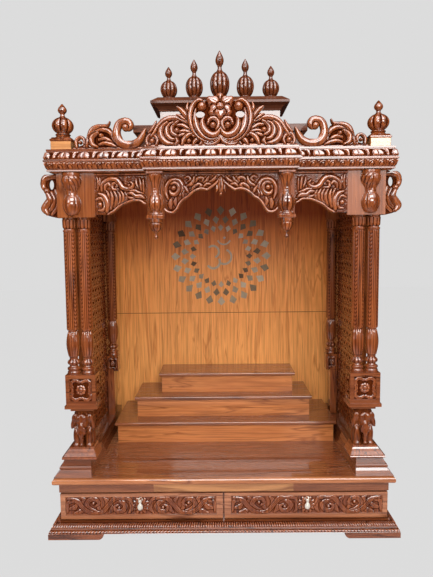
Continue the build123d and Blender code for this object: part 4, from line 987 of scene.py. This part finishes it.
# Half widths, depths before the drawers' plane, heights and bevels of the boards behind each vase
pendant_boards = ((25.5, 12, 2, 972, 1100.7, 1), (22, 20, 10, 972, 1096, 1), (25.5, 43, 2, 964, 975.5, 2.5),
                  (25.5, 43, 2, 1093, 1100.7, 2))
pendants = Shape()
for x in (-PENDANT_X, PENDANT_X):
    pendants.turning((x, VASE_Y), VASE_LOW, vase_outline, 64, gadroons(8, 2.6, (10, 60), (76, 112)), 2.2)
    pendants.turning((x, VASE_Y), DROP_LOW, drop_outline, 60, gadroons(10, 1.4, (20, 46)), 2)
    for half, before, behind, low, high, bevel in pendant_boards:
        pendants.block((x - half, FRONT - before, low), (x + half, FRONT - behind, high), bevel)
pendants.made("pendant_carving", ["pendants"])

# Brackets in front of the capitals: a carved bulb under a leafy neck
BRACKET_X = 439.35
BULB_LOW, BULB_HIGH = 8, 66
bracket_outline = [(9, 5)]
bracket_outline += list(zip(17 + 11 * np.sin(pi * swell) ** 0.8, BULB_LOW + (BULB_HIGH - BULB_LOW) * swell))
bracket_outline += [(16.5, 70), (17, 76), (21, 84), (27, 93), (30.5, 103), (30.8, 112), (28, 118), (26, 120),
                    (28, 122), (28, 128.7)]


def feathers(level, angle):
    """A bulb with three broad lobes, and a neck with a smooth lobe outside and slanting ribs inside."""
    front = (angle - 1.5 * pi) / (pi / 2)
    bulb = np.sin(pi * np.clip((level - BULB_LOW) / (BULB_HIGH - BULB_LOW), 0, 1))
    broad = -3 * (1 - np.abs(np.cos(1.5 * pi * front / 1.2)) ** 0.5) * bulb
    ribs = -2.4 * (1 - np.abs(np.sin(3.2 * pi * front + level * 0.16)) ** 0.6)
    lobe = -4 * (1 - np.sqrt(np.clip(1 - ((front + 0.5) / 0.52) ** 2, 0, 1)))
    neck = np.where(front > 0.02, ribs, lobe) * np.clip((level - 72) / 8, 0, 1)
    return np.where(level < BULB_HIGH, broad, np.where((level > 70) & (level < 117), neck, 0))


half_vase = Shape()
half_vase.turning((0, FRONT + 2), PILLAR_TOP, bracket_outline, 64, feathers, 2, (0.5, 1))
brackets = Shape()
for side in (-1, 1):
    placed = half_vase.points[0].copy()
    placed[:, 0] = side * (BRACKET_X - placed[:, 0])
    brackets.add(placed, half_vase.faces[0], half_vase.open[0], flip=side > 0)
brackets.made("front_bracket_carving", ["front_brackets"])

# Scroll brackets at the capitals' outer sides
SIDE_BRACKET_X = 483.7
side_scroll = Relief(-1, 58, 0, 129, 1.7, pierced=True, full=1.3)
side_scroll.patch([(-6, 0), (8, 0), (30, 5), (50, 14), (56, 32), (50, 46), (38, 60), (38, 74), (42, 90),
                   (42, 110), (30, 122), (-6, 129)], 3, 3)
side_scroll.carve(
    ([(2, 122), (24, 124), (42, 118), (48, 104), (46, 90), (36, 80)], [6, 7, 8, 7, 6, 5], 10),
    ((38, 80), 9, 11),
    ([(12, 82), (6, 56), (12, 28), (26, 10)], [4, 6, 6, 3], 8),
    ([(24, 76), (17, 54), (23, 34), (36, 18)], [4, 6, 7, 3], 9),
    ([(36, 72), (30, 56), (38, 42), (46, 28), (38, 14)], [5, 8, 9, 9, 5], 11),
)
side_scroll.hole((24, 99), 8, 1.8)
side_shape = Shape()
side_low, side_high = corners("side_brackets")
for side in (-1, 1):
    for face_y, way, back in ((side_low[1] + 9, -1, -8), (side_high[1] - 9, 1, None)):
        def beside(u, v, h):
            return side * (SIDE_BRACKET_X + u), face_y + way * h, PILLAR_TOP + v

        side_shape.face(side_scroll, beside, back, side * way > 0)
side_shape.made("side_bracket_carving", ["side_brackets"])

# Pillar blocks: a flower on a leafy ground in the sunk panel of each face
flower = Relief(-34.5, 34.5, 0, 73, 1.6, ground=0.4, mirrored=True)
flower.stroke([(4, 62), (18, 67), (29, 58), (25, 46)], [4, 5, 5, 3], 2.8, "leaf", 5)
flower.stroke([(4, 11), (18, 6), (29, 15), (25, 27)], [4, 5, 5, 3], 2.8, "leaf", 5)
flower.stroke([(30, 28), (26, 36), (30, 46)], [3, 5, 3], 2.6, "leaf", 3)
flower.rosette((0, 37), 16, 8, 3.8, 0.42)
flower.stipple(0.9, 0.4, 4)
flower.sunk_rim()
BLOCK_X, BLOCK_HALF, BLOCK_FACE, BLOCK_BASE = 434.25, 45.95, FRONT + 5.7, BLOCK_TOP - 84
blocks = Shape()
for side in (-1, 1):
    on_front = front_face(BLOCK_FACE + 4, BLOCK_BASE)
    blocks.face(flower, lambda u, v, h: on_front(side * BLOCK_X + u, v, h))
    for way in (-1, 1):
        def on_side(u, v, h):
            return side * BLOCK_X + way * (BLOCK_HALF + h * 0.5), BLOCK_FACE + 30 + u * 0.72, BLOCK_BASE + v

        blocks.face(flower, on_side, flip=way < 0)
blocks.made("block_flowers")

# Corner finials: a moulded block under a lobed bulb
CORNER_X, CORNER_Y = 463, -229.75
SKIRT = [(0, 0), (28, 0), (25, 2), (21, 5), (18.5, 9), (18, 12), (0, 12)]
corner_shape = Shape()
corner_boards = Shape()
for x in (-CORNER_X, CORNER_X):
    corner_boards.slab((x, CORNER_Y), (29.5, 30), ROOF_TOP + 0.3, ROOF_TOP + 25, 1.2)
    corner_shape.slab((x, CORNER_Y), (32, 32.5), ROOF_TOP + 25, ROOF_TOP + 31.5, 2)
    corner_shape.slab((x, CORNER_Y), (28.5, 29), ROOF_TOP + 31, ROOF_TOP + 36, 2.5)
    corner_shape.turning((x, CORNER_Y), ROOF_TOP + 35.5, SKIRT, 64)
    finial(corner_shape, x, CORNER_Y, ROOF_TOP + 45, 91.8, 30, 8)
corner_shape.made("corner_finial_turnings", ["corner_finials"])
corner_boards.made("corner_block_boards", material=looks["rail_teak"], slot="plain_teak")

# Rear pillars: a carved box on a plain post, a turned shaft and a square head
REAR_X, REAR_Y, REAR_HALF = 415, 180.25, 21
POST_X, POST_HALF = 423, 13
BOX_LOW, BOX_HIGH = 408, 467
rear_shape = Shape()
for side in (-1, 1):
    x = side * REAR_X
    rear_shape.slab((side * POST_X, REAR_Y), (POST_HALF, REAR_HALF), corners("rear_pillars")[0][2], BOX_LOW)
    rear_shape.slab((x, REAR_Y), REAR_HALF, BOX_LOW, BOX_HIGH, 1.5)
    on_box = front_face(REAR_Y - REAR_HALF - 0.2, (BOX_LOW + BOX_HIGH) / 2 - 22)
    rear_shape.face(flower, lambda u, v, h: on_box(x + u * 0.5, v * 0.6, h * 0.5))
    pillar(rear_shape, x, REAR_Y, BOX_HIGH)
    rear_shape.slab((x, REAR_Y), REAR_HALF, PILLAR_TOP, SHRINE_TOP)
rear_shape.made("rear_pillar_turnings", ["rear_pillars"])

# Side panels: a diaper of small scrolls and knobs on the inner faces
WALL_X, DIAPER = 440, 40
diaper = Relief(-20, 20, -20, 20, 1.5, mirrored=True)
diaper.stroke([(0, -18), (12, -12), (18, 0), (10, 10), (2, 4)], [2.4, 2.8, 2.8, 2.4, 2], 3)
diaper.stroke([(0, 18), (8, 14), (14, 18)], [2, 3, 1.5], 2.6, "leaf", 3)
diaper.carve(((0, 0), 4.5, 3.4), ((20, -18), 4, 3))
wall_low, wall_high = corners("side_panels")
for side, name in ((-1, "left"), (1, "right")):
    wall = Relief(wall_low[1] + 8, wall_high[1] - 8, wall_low[2] + 12, SHRINE_TOP - 12, 4)
    wall.height = 0.4 + diaper.at(wall.U % DIAPER - DIAPER / 2, wall.V % DIAPER - DIAPER / 2)
    wall.sunk_rim(1)
    wall_shape = Shape()
    wall_shape.face(wall, lambda u, v, h: (side * (WALL_X - h), u, v), flip=side > 0)
    wall_shape.made(f"{name}_wall_carving")

# The open seam between the two boards of the back
seam = Shape()
seam_low, seam_high = corners("back_panel_upper")
seam_half = seam_high[0] - 14
seam.slab((0, seam_low[1] + 0.35), (seam_half, 0.65), seam_low[2] - 1, seam_low[2] + 1, 0.2)
seam.made("back_seam", material=looks["dark_teak"], slot="panel_veneer")

# Mirror kites, each set at its own slight tilt
KITES = 24
KITE_CENTRE = DECK_TOP + 656
kites = Shape()
tilts = np.random.default_rng(7)
back_y = corners("mirror_petals")[1][1]
for ring, width, length, turn in ((178, 28, 34, 0), (143, 24, 29, 0.5), (111, 20, 24, 0)):
    for number in range(KITES):
        angle = 2 * pi * (number + turn) / KITES
        lean = tilts.uniform(-0.035, 0.035, 2)
        kite = 1.1 * np.array([(-length / 2, 0), (length / 10, -width / 2), (length / 2, 0),
                               (length / 10, width / 2)])
        away, across = kite.T
        x = (ring + away) * cos(angle) - across * sin(angle)
        z = KITE_CENTRE + (ring + away) * sin(angle) + across * cos(angle)
        top = np.column_stack([x, back_y - 1.3 + lean[0] * away + lean[1] * across, z])
        foot = np.column_stack([x, np.full(4, back_y - 0.05), z])
        # Each kite's random value is its painted reflection tone
        kites.add(top, QUAD, tilts.uniform(0, 1))
        for a, b in QUAD_EDGES:
            kites.add([top[b], top[a], foot[a], foot[b]], QUAD)
kites.made("mirror_kites", ["mirror_petals"], mirror, slot="mirror_glass", smooth=False)


# Elephants: sculpted from overlapping ovals on a moulded foot
def sculpted(ovals, voxel=2.6, rounds=3):
    """The skin round overlapping ovals, each (centre, radii, lean about X, lean about Y)."""
    clay_mesh = bpy.data.meshes.new("clay")
    shell = bmesh.new()
    for centre, radii, nod, sway in ovals:
        turned = Matrix.Rotation(radians(nod), 4, "X") @ Matrix.Rotation(radians(sway), 4, "Y")
        matrix = Matrix.Translation(centre) @ turned @ Matrix.Diagonal((*radii, 1))
        bmesh.ops.create_icosphere(shell, subdivisions=3, radius=1, matrix=matrix)
    shell.to_mesh(clay_mesh)
    shell.free()
    clay = bpy.data.objects.new("clay", clay_mesh)
    scene.collection.objects.link(clay)
    remesh = clay.modifiers.new("skin", "REMESH")
    remesh.mode = "VOXEL"
    remesh.voxel_size = voxel
    clay.modifiers.new("smooth", "SMOOTH").iterations = rounds
    bpy.context.view_layer.update()
    result = clay.evaluated_get(bpy.context.evaluated_depsgraph_get()).to_mesh()
    result.calc_loop_triangles()
    points = np.zeros(len(result.vertices) * 3)
    result.vertices.foreach_get("co", points)
    faces = np.zeros(len(result.loop_triangles) * 3, np.int32)
    result.loop_triangles.foreach_get("vertices", faces)
    bpy.data.objects.remove(clay)
    return points.reshape(-1, 3), faces.reshape(-1, 3)


elephant_ovals = [
    ((0, 30, 96), (32, 24, 44), 0, 0),
    ((0, 28, 128), (31, 22, 16), 0, 0),
    ((0, 4, 108), (20, 17, 25), 8, 0),
    ((0, -10, 92), (10, 9, 18), 8, 0),
    ((0, -14, 74), (7.5, 7, 16), 0, 0),
    ((0, -12, 56), (6, 6, 14), -8, 0),
    ((0, -14, 42), (6.5, 7, 5), 0, 0),
    ((0, -6, 128), (9, 6, 9), 0, 0),
]
for way in (-1, 1):
    elephant_ovals += [
        ((way * 19, 10, 56), (11.5, 13, 34), 0, way * 4),
        ((way * 20, 6, 35), (13, 14, 8), 0, 0),
        ((way * 20, 38, 52), (12, 12, 34), 0, 0),
        ((way * 29, 8, 106), (7, 5, 24), 0, way * -14),
        ((way * 24, 4, 122), (9, 5, 13), 0, way * -20),
        ((way * 9, -6, 122), (9, 9, 11), 0, 0),
        ((way * 11, -14, 84), (2.8, 3.2, 13), 16, way * -6),
        ((way * 13, -9, 108), (3.2, 3, 3.2), 0, 0),
    ]
ELEPHANT_Y = BLOCK_FACE + 6
# Heights of the moulded foot's edges, and how far each stands out from its top
FOOT_TIERS = ((0, 27), (3, 28), (5, 27), (7, 24), (10, 22), (16, 18), (22, 12), (26, 9), (27, 7), (31, 7),
              (32, 5))
FOOT_HALF, FOOT_DEPTH = 31, 50
elephant_low, elephant_high = corners("elephants")
elephants = Shape()
skin, skin_faces = sculpted(elephant_ovals)
for side in (-1, 1):
    stood = skin + (side * BLOCK_X, ELEPHANT_Y, elephant_low[2])
    stood[:, 2] = np.clip(stood[:, 2], elephant_low[2], elephant_high[2])
    elephants.add(stood, skin_faces, 0.36)
    rings = []
    for rise, reach in FOOT_TIERS:
        inner, outer = BLOCK_X - FOOT_HALF - 0.6 * reach, BLOCK_X + FOOT_HALF + reach
        left, right = sorted((side * inner, side * outer))
        near, far = ELEPHANT_Y - reach, ELEPHANT_Y + FOOT_DEPTH + 0.2 * reach
        level = elephant_low[2] + rise
        rings.append([(left, near, level), (right, near, level), (right, far, level), (left, far, level)])
    for lower, upper in zip(rings[:-1], rings[1:]):
        for a, b in QUAD_EDGES:
            elephants.add([lower[a], lower[b], upper[b], upper[a]], QUAD, 0.62)
    elephants.add(rings[-1], QUAD, 0.5)
elephants.made("elephant_figures", ["elephants"])


def stage_material(name, grey, near_gloss, far_gloss):
    """A pale ground that the camera sees at one even grey with a faint shadow, dimmer in reflections."""
    material, tree, shader = look(name)
    shader.inputs["Base Color"].default_value = (grey, grey, grey, 1)
    shader.inputs["Roughness"].default_value = 0.9
    place = node(tree, "TexCoord").outputs["Object"]
    away = node(tree, "VectorMath", place, operation="LENGTH").outputs["Value"]
    gloss = ramp(tree, maths(tree, "MULTIPLY", away, 0.5), [(0.45, near_gloss), (0.75, far_gloss)])
    even = node(tree, "Emission", (grey, grey, grey), 1.0)
    dim = node(tree, "Emission", gloss, 1.0)
    ray = node(tree, "LightPath").outputs
    seen = maths(tree, "MULTIPLY", ray["Is Camera Ray"], 0.985)
    ground = node(tree, "MixShader", seen, shader.outputs[0], even.outputs[0])
    ground = node(tree, "MixShader", ray["Is Glossy Ray"], ground.outputs[0], dim.outputs[0])
    feed(tree, tree.nodes["Material Output"].inputs["Surface"], ground.outputs[0])
    return material


# One pale plane is floor and backdrop, and the sky beyond it has the same grey
PALE = 0.716
FLOOR_HALF = 8
floor_mesh = bpy.data.meshes.new("floor")
floor_corners = [(x * FLOOR_HALF, y * FLOOR_HALF, 0) for x, y in ((-1, -1), (1, -1), (1, 1), (-1, 1))]
floor_mesh.from_pydata(floor_corners, [], [(0, 1, 2, 3)])
floor_mesh.materials.append(stage_material("pale_floor", PALE, (0.5, 0.42, 0.42), (0.07, 0.055, 0.05)))
floor = bpy.data.objects.new("floor", floor_mesh)
scene.collection.objects.link(floor)

world = bpy.data.worlds.new("studio")
world.use_nodes = True
scene.world = world
sky = world.node_tree
direction = node(sky, "SeparateXYZ", node(sky, "TexCoord").outputs["Generated"]).outputs
above = ramp(sky, direction["Z"], [(0.0, (0.02, 0.018, 0.017)), (0.42, (0.03, 0.027, 0.026)),
                                   (0.62, (1, 0.96, 0.94)), (1.0, (0.5, 0.47, 0.46))])
sideways = ramp(sky, direction["X"], [(0.0, (0.55, 0.55, 0.55)), (0.35, (1, 1, 1))])
ahead = maths(sky, "MULTIPLY", direction["Y"], -1.0)
forward = ramp(sky, ahead, [(0.0, (0.03, 0.03, 0.03)), (0.35, (1, 1, 1))])
room = node(sky, "Background", mixed(sky, 1.0, mixed(sky, 1.0, above, sideways), forward), 2.6)
seen_sky = node(sky, "Background", (PALE, PALE, PALE), 1.0)
fill_sky = sky.nodes["Background"]
feed(sky, fill_sky.inputs["Color"], (1.0, 0.96, 0.92))
feed(sky, fill_sky.inputs["Strength"], 0.24)
sky_ray = node(sky, "LightPath").outputs
mirrored_sky = node(sky, "MixShader", sky_ray["Is Glossy Ray"], fill_sky.outputs[0], room.outputs[0])
whole_sky = node(sky, "MixShader", sky_ray["Is Camera Ray"], mirrored_sky.outputs[0], seen_sky.outputs[0])
feed(sky, sky.nodes["World Output"].inputs["Surface"], whole_sky.outputs[0])


def softbox(name, place, target, width, height, power, colour=(1, 1, 1), glossy=True):
    """A rectangular studio lamp that faces its target."""
    light = bpy.data.lights.new(name, "AREA")
    light.shape = "RECTANGLE"
    light.size = width
    light.size_y = height
    light.energy = power
    light.color = colour
    lamp = bpy.data.objects.new(name, light)
    scene.collection.objects.link(lamp)
    lamp.location = place
    lamp.rotation_euler = (Vector(target) - Vector(place)).to_track_quat("-Z", "Y").to_euler()
    lamp.visible_glossy = glossy


softbox("window", (0.5, -2.75, 1.82), (0, 0, 0.75), 2.0, 0.7, 40, (1, 0.98, 0.96))
softbox("upper", (0.3, -2.2, 2.9), (0, -0.3, 1.1), 2.4, 0.9, 50)
softbox("left_key", (-1.9, -2.2, 2.2), (0, 0, 0.7), 1.0, 1.0, 20)
softbox("left_fill", (-2.5, -2.3, 0.9), (0, 0, 0.6), 0.7, 0.9, 3)
softbox("right_fill", (2.5, -2.3, 0.9), (0, 0, 0.6), 0.7, 0.9, 3)
softbox("low", (0, -2.4, 0.6), (0, 0.2, 0.55), 1.0, 0.5, 11, (1, 0.96, 0.9), glossy=False)
softbox("strip", (0, -2.75, 1.44), (0, 0, 0.95), 3.4, 0.06, 3.6)
softbox("right_glow", (0.98, -2.75, 1.22), (0.4, 0, 1.0), 0.85, 0.34, 1.0)
softbox("left_side", (-3, 1.2, 1.6), (0, 0, 0.7), 1.2, 1.2, 16, glossy=False)
softbox("right_side", (3, 1.2, 1.6), (0, 0, 0.7), 1.2, 1.2, 16, glossy=False)
softbox("behind", (0.6, 3, 1.9), (0, 0, 0.8), 1.6, 1.0, 20, glossy=False)
softbox("top", (0, -0.8, 3.0), (0, 0, 0.6), 1.4, 0.8, 16)

CAMERA_PLACE = (-0.0059, -1.85335, 0.9052)
CAMERA_PITCH, CAMERA_YAW, CAMERA_ROLL = radians(5.25), radians(0.35), radians(0.57)
FOCAL_PIXELS = 540.3
FRAME_HEIGHT = 577
camera = bpy.data.cameras.new("view")
camera.sensor_width = 36
camera.lens = FOCAL_PIXELS / FRAME_HEIGHT * camera.sensor_width
scene.camera = bpy.data.objects.new("view", camera)
scene.collection.objects.link(scene.camera)
scene.camera.matrix_world = (
    Matrix.Translation(CAMERA_PLACE)
    @ Matrix.Rotation(CAMERA_YAW, 4, "Z")
    @ Matrix.Rotation(pi / 2 - CAMERA_PITCH, 4, "X")
    @ Matrix.Rotation(-CAMERA_ROLL, 4, "Z")
)
scene.view_settings.view_transform = "Standard"
